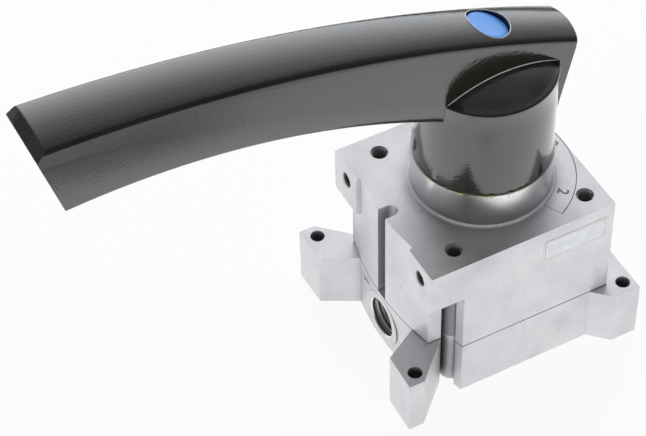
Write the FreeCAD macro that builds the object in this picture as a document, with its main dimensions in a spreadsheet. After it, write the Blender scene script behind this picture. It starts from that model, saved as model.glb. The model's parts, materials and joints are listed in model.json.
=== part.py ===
import FreeCAD, Part
import math
import os
import Sketcher

# Hand lever air valve: a rotary slide valve with four ports, turned by an arched lever.
# The origin is on the spindle's axis at the bottom of the lower housing. +Z is up,
# -X points along the lever at rest, and +X points at the middle mark of the dial.

doc = FreeCAD.newDocument("HandLeverValve")
sheet = doc.addObject("Spreadsheet::Sheet", "Sizes")
V = FreeCAD.Vector

# Driving sizes, in millimetres and degrees
drivingSizes = {
    # plan of the two housings
    "bodyHalf": 29.0, "bodyRight": 28.0, "earLeft": 33.2, "earInner": 16.0,
    "faceLeft": 33.4, "faceRadius": 86.6, "faceEdge": 15.4, "columnFace": 23.0,
    "columnRight": 22.2, "bossCentre": 22.0, "bossRadius": 4.2, "columnLeft": 30.6,
    # lower housing
    "baseHeight": 20.2, "flangeRight": 36.4, "flangeHalf": 34.7, "flangeCorner": 27.8,
    "lugTip": 43.2, "lugTipHalf": 34.7, "lugTipInner": 38.2, "lugShoulder": 42.9,
    "lugShoulderHalf": 22.2, "lugHoleLeft": 39.1, "lugHoleRight": 32.9,
    "lugHoleHalf": 30.5, "lugHoleRadius": 2.25, "lugRootStep": 0.8,
    "portHeight": 9.9, "portRadius": 6.25, "portDepth": 12.0, "portPitch": 19.0,
    "portFaceRadius": 9.1, "portFaceDepth": 0.5, "portRimRadius": 7.7, "portRimDepth": 0.9,
    "passageRadius": 2.5, "supplyPlace": 18.8, "workingPlace": 10.0, "passageEntry": 15.4,
    "seatRecessDepth": 4.2, "seatThickness": 4.0, "seatRadius": 15.2, "seatGap": 0.1,
    "sealGrooveRadius": 23.6, "sealGrooveWidth": 2.0, "sealGrooveDepth": 1.3,
    "portSealRadius": 3.7, "portSealSection": 0.64, "portSealPocket": 4.6,
    "seatPinPlace": 12.6, "seatPinRadius": 1.25, "seatPinLength": 5.0, "pinHolePlay": 0.2,
    "screwPlace": 20.5, "screwRadius": 2.0, "screwHeadRadius": 3.5, "screwHeadHeight": 4.0,
    "screwLength": 30.0, "screwClearance": 0.25, "screwHolePlay": 3.0,
    # upper housing
    "coverHeight": 36.4, "earThickness": 14.3, "earRound": 1.5, "columnLip": 0.7,
    "slotHalf": 2.2, "slotEnd": 28.2,
    "collarRadius": 21.1, "collarHeight": 12.6, "collarFillet": 0.8,
    "chamberRadius": 21.6, "chamberTop": 30.0, "flangeBoreRadius": 13.2, "shoulderHeight": 40.0,
    "bushRadius": 8.0, "bushWall": 1.97, "lowerBushLength": 12.0, "sealRoom": 2.4,
    "upperBushLength": 12.0, "clipRoomRadius": 9.3, "fitGap": 0.03,
    "mountPlace": 22.0, "mountRadius": 2.35, "mountDepth": 12.0, "mountRimDepth": 0.35,
    "sideHoleDrop": 6.2, "sideHoleDepth": 7.0,
    # spindle and what it carries in the housing
    "discGap": 0.05, "discRadius": 15.0, "discThickness": 7.0, "discChannelDepth": 4.0,
    "tongueWidth": 6.0, "tongueDepth": 3.6, "spindleRadius": 6.0, "spindleFlangeRadius": 11.5,
    "spindleFlangeThickness": 3.0, "neckRadius": 4.0, "neckFlat": 3.3, "neckShort": 1.1,
    "tapDepth": 15.0, "thrustThickness": 0.96, "springSeatThickness": 1.0,
    "springSeatRadius": 8.5, "springRadius": 7.4, "springWire": 0.8, "springTurns": 2.5,
    "clipThickness": 0.9, "clipRadius": 8.4, "clipGroove": 5.2,
    # detent and stop
    "plateInner": 9.6, "plateOuter": 17.6, "plateThickness": 2.0, "trackRadius": 13.5,
    "ballRadius": 3.0, "ballGap": 0.08, "dimpleDepth": 0.8, "dimpleStep": 45.0,
    "detentSpringRadius": 2.2, "detentSpringWire": 0.35, "detentSpringTurns": 7.0,
    "detentSpringTop": 88.0, "stopPlace": 13.0, "stopRadius": 1.5, "stopBottom": 64.0,
    "stopTop": 79.0, "plateScrewAngle": 22.0, "plateScrewRadius": 1.45,
    "plateScrewHeadRadius": 2.7, "plateScrewHeadHeight": 1.6, "plateScrewLength": 8.0,
    "plateHolePlay": 1.0,
    # lever
    "skirtGap": 0.3, "skirtRadius": 20.6, "skirtBore": 18.0, "skirtStep": 3.1,
    "rimDrop": 14.4, "domeRise": 5.3,
    "headHalf": 9.1, "endHalf": 10.4, "topInset": 0.55, "bottomInset": 0.35, "crown": 1.7,
    "edgeRadius": 2.0, "edgeDrop": 1.4,
    "headHeight": 115.4, "topSlope": 20.3, "topRadius": 421.0,
    "creaseSlope": 26.45, "creaseRadius": 370.6,
    "rootDrop": 19.5, "bottomSlope": 28.1, "bottomRadius": 200.7,
    "armEndTop": 135.6, "armEndBottom": 130.0, "armBevelLength": 3.1, "armBevelHeight": 2.4,
    "noseRadius": 25.6, "noseRoot": 77.5, "noseDrop": 6.9, "noseBulge": 150.0,
    "leverWall": 2.6, "leverRoof": 3.2, "ribThickness": 2.0, "ribSetback": 5.0,
    "coreInner": 8.6, "coreOuter": 17.0, "hubRoof": 9.0, "turnAngle": 45.0, "stopPlay": 0.6,
    "capRadius": 6.3, "capGap": 0.15, "capThickness": 1.2, "capSunk": 0.5,
    "capPlugRadius": 5.3, "capPlugWall": 1.0, "capPlugLength": 3.0, "capPlugPlay": 1.5,
    "wellRadius": 5.6, "wellDepth": 16.8, "wellTopShort": 2.0, "leverScrewRadius": 2.5,
    "leverScrewHeadRadius": 4.25, "leverScrewHeadHeight": 5.0, "leverScrewLength": 14.0,
    "leverWasherRadius": 5.3, "leverWasherThickness": 1.0,
    # how far cuts and trimmed blanks run past the faces they open
    "overrun": 1.0, "wideOverrun": 8.0,
}


class Size:
    # A size with its number and the expression that gives it from the sheet.
    def __init__(self, value, text):
        self.value = value
        self.text = text

    def joined(self, other, sign, value):
        text = other.text if isinstance(other, Size) else repr(other)
        return Size(value, "(%s %s %s)" % (self.text, sign, text))

    def __add__(self, other):
        return self.joined(other, "+", self.value + number(other))

    def __sub__(self, other):
        return self.joined(other, "-", self.value - number(other))

    def __mul__(self, other):
        return self.joined(other, "*", self.value * number(other))

    def __truediv__(self, other):
        return self.joined(other, "/", self.value / number(other))

    def __neg__(self):
        return Size(-self.value, "(0 - %s)" % self.text)


def number(amount):
    return amount.value if isinstance(amount, Size) else float(amount)


def root(amount):
    return Size(math.sqrt(amount.value), "sqrt(%s)" % amount.text)


def sine(angle):
    return Size(math.sin(math.radians(angle.value)), "sin(%s * 1deg)" % angle.text)


def cosine(angle):
    return Size(math.cos(math.radians(angle.value)), "cos(%s * 1deg)" % angle.text)


def beside(hypotenuse, side):
    # the third side of a right-angled triangle
    return root(hypotenuse * hypotenuse - side * side)


class SizeBook:
    pass


s = SizeBook()
for row, (alias, amount) in enumerate(drivingSizes.items(), start=1):
    sheet.set("A%d" % row, alias)
    sheet.set("B%d" % row, str(amount))
    sheet.setAlias("B%d" % row, alias)
    setattr(s, alias, Size(amount, "Sizes." + alias))
doc.recompute()


# Building blocks
def bind(thing, name, amount):
    if isinstance(amount, Size):
        thing.setExpression(name, amount.text)
    else:
        setattr(thing, name, amount)


def place(thing, x=0, y=0, z=0, turn=None, angle=None):
    turn = turn or FreeCAD.Rotation()
    thing.Placement = FreeCAD.Placement(V(number(x), number(y), number(z)), turn)
    for axis, amount in (("x", x), ("y", y), ("z", z)):
        if isinstance(amount, Size):
            thing.setExpression("Placement.Base." + axis, amount.text)
    if angle is not None:
        thing.setExpression("Placement.Rotation.Angle", angle.text)
    return thing


def newBody(label):
    body = doc.addObject("PartDesign::Body", label)
    body.Label = label
    return body


def sketchOn(body, role, lift=None):
    plane = [item for item in body.Origin.OriginFeatures if item.Role == role][0]
    sketch = body.newObject("Sketcher::SketchObject", body.Name + "Sketch")
    sketch.AttachmentSupport = [(plane, "")]
    sketch.MapMode = "FlatFace"
    if lift is not None:
        sketch.AttachmentOffset = FreeCAD.Placement(V(0, 0, lift.value), FreeCAD.Rotation())
        sketch.setExpression("AttachmentOffset.Base.z", lift.text)
    return sketch


def constrain(sketch, kind, *arguments, amount):
    index = sketch.addConstraint(Sketcher.Constraint(kind, *arguments, number(amount)))
    if isinstance(amount, Size):
        sketch.setExpression("Constraints[%d]" % index, amount.text)


def pinPoint(sketch, edge, end, x, y):
    constrain(sketch, "DistanceX", -1, 1, edge, end, amount=x)
    constrain(sketch, "DistanceY", -1, 1, edge, end, amount=y)


def addOutline(sketch, corners, arcs=None):
    # A closed outline. arcs maps a corner's index to the radius of the arc that leaves
    # it, and the side of its centre as seen along the outline: 1 is left, -1 is right.
    arcs = arcs or {}
    first = sketch.GeometryCount
    count = len(corners)
    points = [V(number(x), number(y), 0) for x, y in corners]
    for i, start in enumerate(points):
        end = points[(i + 1) % count]
        if i in arcs:
            radius, side = arcs[i]
            chord = end - start
            left = V(-chord.y, chord.x, 0).normalize()
            reach = math.sqrt(max(radius.value ** 2 - chord.Length ** 2 / 4, 0))
            middle = (start + end) * 0.5 - left * (side * (radius.value - reach))
            sketch.addGeometry(Part.Arc(start, middle, end))
        else:
            sketch.addGeometry(Part.LineSegment(start, end))
    for i in range(count):
        # an arc that turns clockwise is stored from its far end
        here = 2 if i in arcs and arcs[i][1] < 0 else 1
        after = (i + 1) % count
        there = 2 if after in arcs and arcs[after][1] < 0 else 1
        sketch.addConstraint(Sketcher.Constraint("Coincident", first + i, 3 - here, first + after, there))
        pinPoint(sketch, first + i, here, *corners[i])
        if i in arcs:
            constrain(sketch, "Radius", first + i, amount=arcs[i][0])
    return sketch


def addCircle(sketch, x, y, radius):
    centre = V(number(x), number(y), 0)
    edge = sketch.addGeometry(Part.Circle(centre, V(0, 0, 1), number(radius)))
    pinPoint(sketch, edge, 3, x, y)
    constrain(sketch, "Radius", edge, amount=radius)
    return sketch


def boxCorners(low, high):
    return [(low[0], low[1]), (high[0], low[1]), (high[0], high[1]), (low[0], high[1])]


def pad(body, sketch, length, midplane=False):
    feature = body.newObject("PartDesign::Pad", body.Name + "Pad")
    feature.Profile = sketch
    bind(feature, "Length", length)
    feature.Midplane = midplane
    return feature


def pocket(body, sketch, length, up=False, midplane=False):
    feature = body.newObject("PartDesign::Pocket", body.Name + "Pocket")
    feature.Profile = sketch
    bind(feature, "Length", length)
    feature.Reversed = up
    feature.Midplane = midplane
    return feature


def spin(body, sketch, kind="PartDesign::Revolution", angle=360.0):
    feature = body.newObject(kind, body.Name + "Spin")
    feature.Profile = sketch
    feature.ReferenceAxis = (sketch, ["V_Axis"])
    feature.Angle = angle
    feature.Midplane = angle < 360
    return feature


def drill(body, radius, length, x=0, y=0, z=0, turn=None, angle=None):
    feature = body.newObject("PartDesign::SubtractiveCylinder", body.Name + "Drill")
    bind(feature, "Radius", radius)
    bind(feature, "Height", length)
    return place(feature, x, y, z, turn, angle)


def cone(body, low, high, length, x=0, y=0, z=0, turn=None):
    feature = body.newObject("PartDesign::SubtractiveCone", body.Name + "Rim")
    bind(feature, "Radius1", low)
    bind(feature, "Radius2", high)
    bind(feature, "Height", length)
    return place(feature, x, y, z, turn)


def roundEdges(body, name, radius, wanted):
    doc.recompute()
    before = body.Tip
    found = ["Edge%d" % i for i, edge in enumerate(before.Shape.Edges, start=1) if wanted(edge)]
    feature = body.newObject("PartDesign::Fillet", name)
    feature.Base = (before, found)
    bind(feature, "Radius", radius)
    return feature


def cylinder(name, radius, height, x=0, y=0, z=0):
    feature = doc.addObject("Part::Cylinder", name)
    bind(feature, "Radius", radius)
    bind(feature, "Height", height)
    return place(feature, x, y, z)


def cut(name, base, tool):
    feature = doc.addObject("Part::Cut", name)
    feature.Base = base
    feature.Tool = tool
    return feature


def fuse(name, *pieces):
    feature = doc.addObject("Part::MultiFuse", name)
    feature.Shapes = list(pieces)
    return feature


def group(label, pieces):
    feature = doc.addObject("Part::Compound", label)
    feature.Links = pieces
    feature.Label = label
    return feature


def ring(label, inner, outer, low, height):
    feature = cut(label, cylinder(label + "Outer", outer, height, z=low),
                  cylinder(label + "Inner", inner, height, z=low))
    feature.Label = label
    return feature


def sealRing(name, radius, section, x=0, y=0, z=0):
    feature = doc.addObject("Part::Torus", name)
    bind(feature, "Radius1", radius)
    bind(feature, "Radius2", section)
    return place(feature, x, y, z)


def coilSpring(name, radius, wire, low, high, turns, x=0, y=0):
    # The wire lies just inside the space from low to high.
    span = high - low - wire * 2
    path = doc.addObject("Part::Helix", name + "Path")
    bind(path, "Radius", radius)
    bind(path, "Height", span)
    bind(path, "Pitch", span / turns)
    place(path, x, y, low + wire)
    section = doc.addObject("Part::Circle", name + "Section")
    bind(section, "Radius", wire)
    # the section stands square to the wire where it starts
    lead = math.degrees(math.atan2(number(span / turns), math.tau * number(radius)))
    place(section, radius + x, y, low + wire, FreeCAD.Rotation(V(1, 0, 0), 90 + lead))
    feature = doc.addObject("Part::Sweep", name)
    feature.Sections = [section]
    feature.Spine = (path, ["Edge1"])
    feature.Solid = True
    feature.Frenet = True
    return feature


# across the corners, a screw's hexagon socket is this share of the shank
socketShare = 0.95


def capScrew(name, radius, length, headRadius, headHeight, x=0, y=0, z=0, turn=None):
    # Under the head is z 0, and the shank points down. The socket is as deep as half the head.
    shank = cylinder(name + "Shank", radius, length, z=-length)
    head = cylinder(name + "Head", headRadius, headHeight)
    socket = doc.addObject("Part::Prism", name + "Socket")
    socket.Polygon = 6
    bind(socket, "Circumradius", radius * socketShare)
    bind(socket, "Height", headHeight)
    place(socket, z=headHeight / 2)
    return place(cut(name, fuse(name + "Blank", shank, head), socket), x, y, z, turn)


downward = FreeCAD.Rotation(V(1, 0, 0), 180)
alongX = FreeCAD.Rotation(V(0, 1, 0), 90)
againstX = FreeCAD.Rotation(V(0, 1, 0), -90)
corners = [(-1, -1), (1, -1), (1, 1), (-1, 1)]

# Heights that several pieces share
parting = s.baseHeight
plateTop = parting + s.coverHeight
collarTop = plateTop + s.collarHeight
seatFloor = parting - s.seatRecessDepth
seatTop = seatFloor + s.seatThickness
discBottom = seatTop + s.discGap
discTop = discBottom + s.discThickness
lowerBushTop = s.shoulderHeight + s.lowerBushLength
upperBushBottom = lowerBushTop + s.sealRoom
upperBushTop = upperBushBottom + s.upperBushLength
flangeTop = s.shoulderHeight - s.thrustThickness - s.fitGap
flangeBottom = flangeTop - s.spindleFlangeThickness
plateFace = collarTop + s.plateThickness
skirtBottom = collarTop + s.skirtGap
hubFloor = skirtBottom + s.skirtStep
ballCentre = plateFace + s.ballRadius + s.discGap
rimHeight = s.headHeight - s.rimDrop
rootHeight = s.headHeight - s.rootDrop
noseHeight = s.headHeight - s.noseDrop
wellFloor = s.headHeight - s.wellDepth
neckTop = wellFloor - s.neckShort
spindleAxis = Size(0.0, "0")


# Plan of the housings
def faceX(y):
    # the bulged face opposite the dial
    return s.faceRadius - s.faceLeft - beside(s.faceRadius, y)


bossReach = beside(s.bossRadius, s.columnFace - s.bossCentre)
sideFace = s.bodyHalf


def lowerHousing():
    body = newBody("lower_housing")
    plan = sketchOn(body, "XY_Plane")
    lugRoot = s.columnFace + (s.columnRight - s.bossCentre) + s.lugRootStep
    halfOutline = [
        (s.flangeRight, s.flangeHalf), (s.flangeCorner, s.flangeHalf),
        (s.flangeCorner - (s.flangeHalf - sideFace), sideFace), (-s.columnRight, sideFace),
        (-s.bossCentre - (s.columnFace - s.bossCentre), s.bossCentre + bossReach),
        (-s.bossCentre - bossReach, s.columnFace),
        (-s.bossCentre - bossReach - (lugRoot - s.columnFace), lugRoot),
        (-s.lugTipInner, s.lugTipHalf), (-s.lugTip, s.lugTipHalf),
        (-s.lugShoulder, s.lugShoulderHalf), (faceX(s.earInner), s.earInner),
    ]
    mirrored = [(x, -y) for x, y in reversed(halfOutline)]
    arcs = {4: (s.bossRadius, 1), 10: (s.faceRadius, 1), 16: (s.bossRadius, 1)}
    pad(body, addOutline(plan, halfOutline + mirrored, arcs), parting)
    # recess for the seat plate, and the groove for the chamber's seal
    pocket(body, addCircle(sketchOn(body, "XY_Plane", parting), 0, 0, s.seatRadius + s.seatGap),
           s.seatRecessDepth)
    groove = sketchOn(body, "XY_Plane", parting)
    addCircle(groove, 0, 0, s.sealGrooveRadius + s.sealGrooveWidth / 2)
    addCircle(groove, 0, 0, s.sealGrooveRadius - s.sealGrooveWidth / 2)
    pocket(body, groove, s.sealGrooveDepth)
    # fixing holes in the lugs and the flange
    lugs = sketchOn(body, "XY_Plane", parting)
    for x in (-s.lugHoleLeft, s.lugHoleRight):
        for y in (-s.lugHoleHalf, s.lugHoleHalf):
            addCircle(lugs, x, y, s.lugHoleRadius)
    pocket(body, lugs, parting)
    # screws from below
    shanks = sketchOn(body, "XY_Plane", parting)
    heads = sketchOn(body, "XY_Plane", s.screwHeadHeight + s.screwClearance)
    for right, back in corners:
        x, y = s.screwPlace * right, s.screwPlace * back
        addCircle(shanks, x, y, s.screwRadius + s.screwClearance)
        addCircle(heads, x, y, s.screwHeadRadius + s.screwClearance)
    pocket(body, shanks, parting)
    pocket(body, heads, s.screwHeadHeight + s.screwClearance)
    # the supply port, and three ports in the flange, each with its spot face and rim
    port(body, -s.faceLeft, 0, 1)
    for step in (-1, 0, 1):
        port(body, s.flangeRight, s.portPitch * step, -1)
    # passages from the ports to the seat
    drill(body, s.passageRadius, parting - s.portHeight, x=-s.supplyPlace, z=s.portHeight)
    drill(body, s.passageRadius, s.faceLeft - s.portDepth - s.supplyPlace + s.overrun,
          x=-s.faceLeft + s.portDepth - s.overrun, z=s.portHeight, turn=alongX)
    run = s.flangeRight - s.portDepth + s.overrun
    drill(body, s.passageRadius, run, z=s.portHeight, turn=alongX)
    drill(body, s.passageRadius, parting - s.portHeight, z=s.portHeight)
    for back in (-1, 1):
        rise = s.passageEntry - s.workingPlace
        slant = math.degrees(math.atan2(rise.value * back, run.value))
        turn = FreeCAD.Rotation(V(0, 0, 1), slant).multiply(alongX)
        drill(body, s.passageRadius, root(run * run + rise * rise),
              y=s.workingPlace * back, z=s.portHeight, turn=turn)
        drill(body, s.passageRadius, parting - s.portHeight, y=s.workingPlace * back, z=s.portHeight)
        drill(body, s.seatPinRadius, s.seatPinLength, x=s.seatPinPlace * back,
              z=seatFloor - s.seatPinLength / 2)
    return body


def port(body, x, y, inward):
    turn = alongX if inward > 0 else againstX
    slope = (s.portRimRadius - s.portRadius) / s.portRimDepth
    drill(body, s.portRadius, s.portDepth, x, y, s.portHeight, turn)
    drill(body, s.portFaceRadius, s.portFaceDepth + s.overrun,
          x - s.overrun * inward, y, s.portHeight, turn)
    cone(body, s.portRimRadius + slope * s.portFaceDepth, s.portRadius, s.portRimDepth + s.portFaceDepth,
         x, y, s.portHeight, turn)


def upperHousing():
    body = newBody("upper_housing")
    plan = sketchOn(body, "XY_Plane", parting)
    edge = s.faceEdge
    outline = [
        (s.bodyRight, -sideFace), (s.bodyRight, sideFace), (-s.earLeft, sideFace),
        (-s.earLeft, s.earInner), (faceX(edge), edge),
        (faceX(edge), -edge), (-s.earLeft, -s.earInner), (-s.earLeft, -sideFace),
    ]
    pad(body, addOutline(plan, outline, {4: (s.faceRadius, 1)}), s.coverHeight)
    # the corners below the ears are cut back to a round boss
    for back in (-1, 1):
        notch = sketchOn(body, "XY_Plane", parting)
        out = s.bodyHalf + s.wideOverrun
        lip = s.columnFace - s.columnLip
        path = [
            (-out, edge * back), (faceX(edge), edge * back),
            (faceX(lip), lip * back), (-s.columnLeft, s.columnFace * back),
            (-s.bossCentre - bossReach, s.columnFace * back),
            (-s.bossCentre - (s.columnFace - s.bossCentre), (s.bossCentre + bossReach) * back),
            (-s.columnRight, sideFace * back), (-s.columnRight, out * back), (-out, out * back),
        ]
        arcs = {1: (s.faceRadius, -back), 4: (s.bossRadius, -back)}
        pocket(body, addOutline(notch, path, arcs), s.coverHeight - s.earThickness, up=True)
    slot = sketchOn(body, "XY_Plane", parting)
    slotCentre = s.slotEnd + s.slotHalf
    addOutline(slot, boxCorners((-s.faceLeft - s.overrun, -s.slotHalf), (-slotCentre, s.slotHalf)))
    pocket(body, slot, s.coverHeight, up=True)
    drill(body, s.slotHalf, s.coverHeight, x=-slotCentre, z=parting)
    collar = sketchOn(body, "XY_Plane", plateTop)
    pad(body, addCircle(collar, 0, 0, s.collarRadius), s.collarHeight)
    # chamber, spindle bore and the room for the clip, from the bottom up
    bore = sketchOn(body, "XZ_Plane")
    steps = [
        (0, parting), (s.chamberRadius, parting), (s.chamberRadius, s.chamberTop),
        (s.flangeBoreRadius, s.chamberTop), (s.flangeBoreRadius, s.shoulderHeight),
        (s.bushRadius, s.shoulderHeight), (s.bushRadius, upperBushTop),
        (s.clipRoomRadius, upperBushTop), (s.clipRoomRadius, collarTop), (0, collarTop),
    ]
    spin(body, addOutline(bore, steps), "PartDesign::Groove")
    for right, back in corners:
        drill(body, s.screwRadius, s.screwLength - parting + s.screwHeadHeight + s.screwHolePlay,
              s.screwPlace * right, s.screwPlace * back, parting)
        x, y = s.mountPlace * right, s.mountPlace * back
        drill(body, s.mountRadius, s.mountDepth, x, y, plateTop - s.mountDepth)
        cone(body, s.mountRadius, s.mountRadius + s.mountRimDepth, s.mountRimDepth,
             x, y, plateTop - s.mountRimDepth)
    for back in (-1, 1):
        y, z = s.mountPlace * back, plateTop - s.sideHoleDrop
        drill(body, s.mountRadius, s.sideHoleDepth, -s.earLeft, y, z, alongX)
        cone(body, s.mountRadius + s.mountRimDepth, s.mountRadius, s.mountRimDepth,
             -s.earLeft, y, z, alongX)
    # holes in the collar's top for the detent plate's screws and the stop pin
    for right, back in corners:
        x = cosine(s.plateScrewAngle) * s.trackRadius * right
        y = sine(s.plateScrewAngle) * s.trackRadius * back
        drill(body, s.plateScrewRadius + s.fitGap, s.plateScrewLength, x, y,
              plateFace - s.plateScrewLength - s.plateHolePlay)
    drill(body, s.stopRadius, collarTop - s.stopBottom, x=s.stopPlace, z=s.stopBottom)
    roundEdges(body, "earRounds", s.earRound,
               lambda edge: abs(abs(edge.CenterOfMass.y) - sideFace.value) < 0.01
               and abs(edge.CenterOfMass.z - plateTop.value + s.earThickness.value) < 0.01)
    roundEdges(body, "collarFoot", s.collarFillet,
               lambda edge: abs(edge.CenterOfMass.z - plateTop.value) < 0.001
               and abs(edge.Length - 2 * math.pi * s.collarRadius.value) < 0.01)
    return body


# Seat plate in the lower housing, with its seals and pins
def seatPlate():
    body = newBody("seat_plate")
    plate = addCircle(sketchOn(body, "XY_Plane", seatFloor), 0, 0, s.seatRadius)
    pad(body, plate, s.seatThickness)
    for y in (-s.workingPlace, 0, s.workingPlace):
        drill(body, s.passageRadius, s.seatThickness, y=y, z=seatFloor)
        drill(body, s.portSealPocket, s.sealGrooveDepth, y=y, z=seatFloor)
    for back in (-1, 1):
        drill(body, s.seatPinRadius + s.fitGap, s.seatPinLength / 2 + s.pinHolePlay,
              x=s.seatPinPlace * back, z=seatFloor)
    return body


def seatSeals():
    middle = seatFloor + s.sealGrooveDepth / 2
    return group("port_seals", [sealRing("portSeal", s.portSealRadius, s.portSealSection, y=y, z=middle)
                                for y in (-s.workingPlace, 0, s.workingPlace)])


def seatPins():
    return group("seat_pins", [
        cylinder("seatPin", s.seatPinRadius - s.fitGap / 2, s.seatPinLength, x=s.seatPinPlace * back,
                 z=seatFloor - s.seatPinLength / 2) for back in (-1, 1)])


def chamberSeal():
    seal = sealRing("chamber_seal", s.sealGrooveRadius, s.sealGrooveDepth / 2,
                    z=parting - s.sealGrooveDepth / 2)
    seal.Label = "chamber_seal"
    return seal


def housingScrews():
    return group("housing_screws", [
        capScrew("housingScrew", s.screwRadius - s.fitGap, s.screwLength, s.screwHeadRadius,
                 s.screwHeadHeight, s.screwPlace * right, s.screwPlace * back,
                 s.screwHeadHeight + s.screwClearance, downward) for right, back in corners])


# Bearings, seal and thrust washer round the spindle
def spindleGuides():
    inner = s.bushRadius - s.bushWall
    outer = s.bushRadius - s.fitGap / 2
    lower = ring("lower_bush", inner, outer, s.shoulderHeight, s.lowerBushLength)
    upper = ring("upper_bush", inner, outer, upperBushBottom, s.upperBushLength)
    section = (s.bushWall - s.fitGap / 2) / 2
    seal = sealRing("spindle_seal", inner + section, section, z=lowerBushTop + s.sealRoom / 2)
    seal.Label = "spindle_seal"
    thrust = ring("thrust_washer", inner, s.flangeBoreRadius - s.seatGap,
                  s.shoulderHeight - s.thrustThickness, s.thrustThickness)
    return [lower, upper, seal, thrust]


# Rotary slide disc: two open holes feed a port from the chamber, two channels vent to the middle
def slideDisc():
    body = newBody("slide_disc")
    pad(body, addCircle(sketchOn(body, "XY_Plane", discBottom), 0, 0, s.discRadius), s.discThickness)
    drill(body, s.passageRadius, s.discChannelDepth, z=discBottom)
    lean = cosine(s.turnAngle) * s.workingPlace
    side = sine(s.turnAngle) * s.workingPlace
    for back in (-1, 1):
        drill(body, s.passageRadius, s.discThickness, lean, side * back, discBottom)
        drill(body, s.passageRadius, s.discChannelDepth, -lean, side * back, discBottom)
        channel = body.newObject("PartDesign::SubtractiveBox", "ventChannel")
        bind(channel, "Length", s.workingPlace)
        bind(channel, "Width", s.passageRadius * 2)
        bind(channel, "Height", s.discChannelDepth)
        turn = FreeCAD.Rotation(V(0, 0, 1), (180 - s.turnAngle.value) * back)
        shift = turn.multVec(V(0, -1, 0))
        place(channel, s.passageRadius * shift.x, s.passageRadius * shift.y, discBottom, turn)
    slot = sketchOn(body, "XY_Plane", discTop)
    long_ = s.spindleRadius + s.fitGap
    wide = s.tongueWidth / 2 + s.fitGap
    addOutline(slot, boxCorners((-long_, -wide), (long_, wide)))
    pocket(body, slot, s.tongueDepth)
    return body


def spindle():
    body = newBody("spindle")
    profile = [
        (0, discTop - s.tongueDepth), (s.spindleRadius, discTop - s.tongueDepth),
        (s.spindleRadius, flangeBottom), (s.spindleFlangeRadius, flangeBottom),
        (s.spindleFlangeRadius, flangeTop), (s.spindleRadius, flangeTop),
        (s.spindleRadius, upperBushTop + s.skirtGap), (s.clipGroove, upperBushTop + s.skirtGap),
        (s.clipGroove, upperBushTop + s.skirtGap + s.clipThickness + s.fitGap),
        (s.spindleRadius, upperBushTop + s.skirtGap + s.clipThickness + s.fitGap),
        (s.spindleRadius, hubFloor), (s.neckRadius, hubFloor), (s.neckRadius, neckTop), (0, neckTop),
    ]
    spin(body, addOutline(sketchOn(body, "XZ_Plane"), profile))
    # two flats below the disc's face leave the tongue, and two on the neck drive the lever
    flats = sketchOn(body, "XY_Plane", discTop)
    neckFlats = sketchOn(body, "XY_Plane", neckTop)
    far = s.spindleRadius + s.overrun
    for back in (-1, 1):
        near, top = sorted((s.tongueWidth / 2 * back, far * back), key=number)
        addOutline(flats, boxCorners((-far, near), (far, top)))
        near, top = sorted((s.neckFlat * back, far * back), key=number)
        addOutline(neckFlats, boxCorners((-far, near), (far, top)))
    pocket(body, flats, s.tongueDepth)
    pocket(body, neckFlats, neckTop - hubFloor)
    drill(body, s.leverScrewRadius, s.tapDepth, z=neckTop - s.tapDepth)
    return body


def spindleExtras():
    clip = ring("spindle_clip", s.clipGroove + s.fitGap, s.clipRadius,
                upperBushTop + s.skirtGap, s.clipThickness)
    seat = ring("spring_seat", s.spindleRadius + s.fitGap, s.springSeatRadius,
                discTop, s.springSeatThickness)
    spring = coilSpring("pressure_spring", s.springRadius, s.springWire,
                        discTop + s.springSeatThickness, flangeBottom, s.springTurns)
    spring.Label = "pressure_spring"
    return [clip, seat, spring]


# Detent plate on the collar, with three dimples for each ball, and the stop pin
def detentPlate():
    body = newBody("detent_plate")
    disc = sketchOn(body, "XY_Plane", collarTop)
    addCircle(disc, 0, 0, s.plateOuter)
    addCircle(disc, 0, 0, s.plateInner)
    pad(body, disc, s.plateThickness)
    dimple = s.ballRadius + s.discGap * 2
    for side in (90, 270):
        for step in (-1, 0, 1):
            angle = s.dimpleStep * step + float(side)
            ball = body.newObject("PartDesign::SubtractiveSphere", "dimple")
            bind(ball, "Radius", dimple)
            place(ball, cosine(angle) * s.trackRadius, sine(angle) * s.trackRadius,
                  plateFace + dimple - s.dimpleDepth)
    for right, back in corners:
        x = cosine(s.plateScrewAngle) * s.trackRadius * right
        y = sine(s.plateScrewAngle) * s.trackRadius * back
        drill(body, s.plateScrewRadius + s.fitGap, s.plateThickness, x, y, collarTop)
        cone(body, s.plateScrewRadius + s.fitGap, s.plateScrewHeadRadius + s.fitGap, s.plateScrewHeadHeight,
             x, y, plateFace - s.plateScrewHeadHeight)
    drill(body, s.stopRadius + s.fitGap, s.plateThickness, x=s.stopPlace, z=collarTop)
    return body


def plateScrews():
    screws = []
    for right, back in corners:
        x = cosine(s.plateScrewAngle) * s.trackRadius * right
        y = sine(s.plateScrewAngle) * s.trackRadius * back
        low = plateFace - s.plateScrewHeadHeight
        head = doc.addObject("Part::Cone", "plateScrewHead")
        bind(head, "Radius1", s.plateScrewRadius)
        bind(head, "Radius2", s.plateScrewHeadRadius)
        bind(head, "Height", s.plateScrewHeadHeight)
        place(head, x, y, low)
        shank = cylinder("plateScrewShank", s.plateScrewRadius, s.plateScrewLength - s.plateScrewHeadHeight,
                         x, y, plateFace - s.plateScrewLength)
        screws.append(fuse("plateScrew", shank, head))
    return group("plate_screws", screws)


def stopPin():
    pin = cylinder("stop_pin", s.stopRadius, s.stopTop - s.stopBottom, x=s.stopPlace, z=s.stopBottom)
    pin.Label = "stop_pin"
    return pin


def detentBalls():
    balls = []
    for back in (-1, 1):
        ball = doc.addObject("Part::Sphere", "detentBall")
        bind(ball, "Radius", s.ballRadius)
        balls.append(place(ball, y=s.trackRadius * back, z=ballCentre))
    return group("detent_balls", balls)


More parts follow.
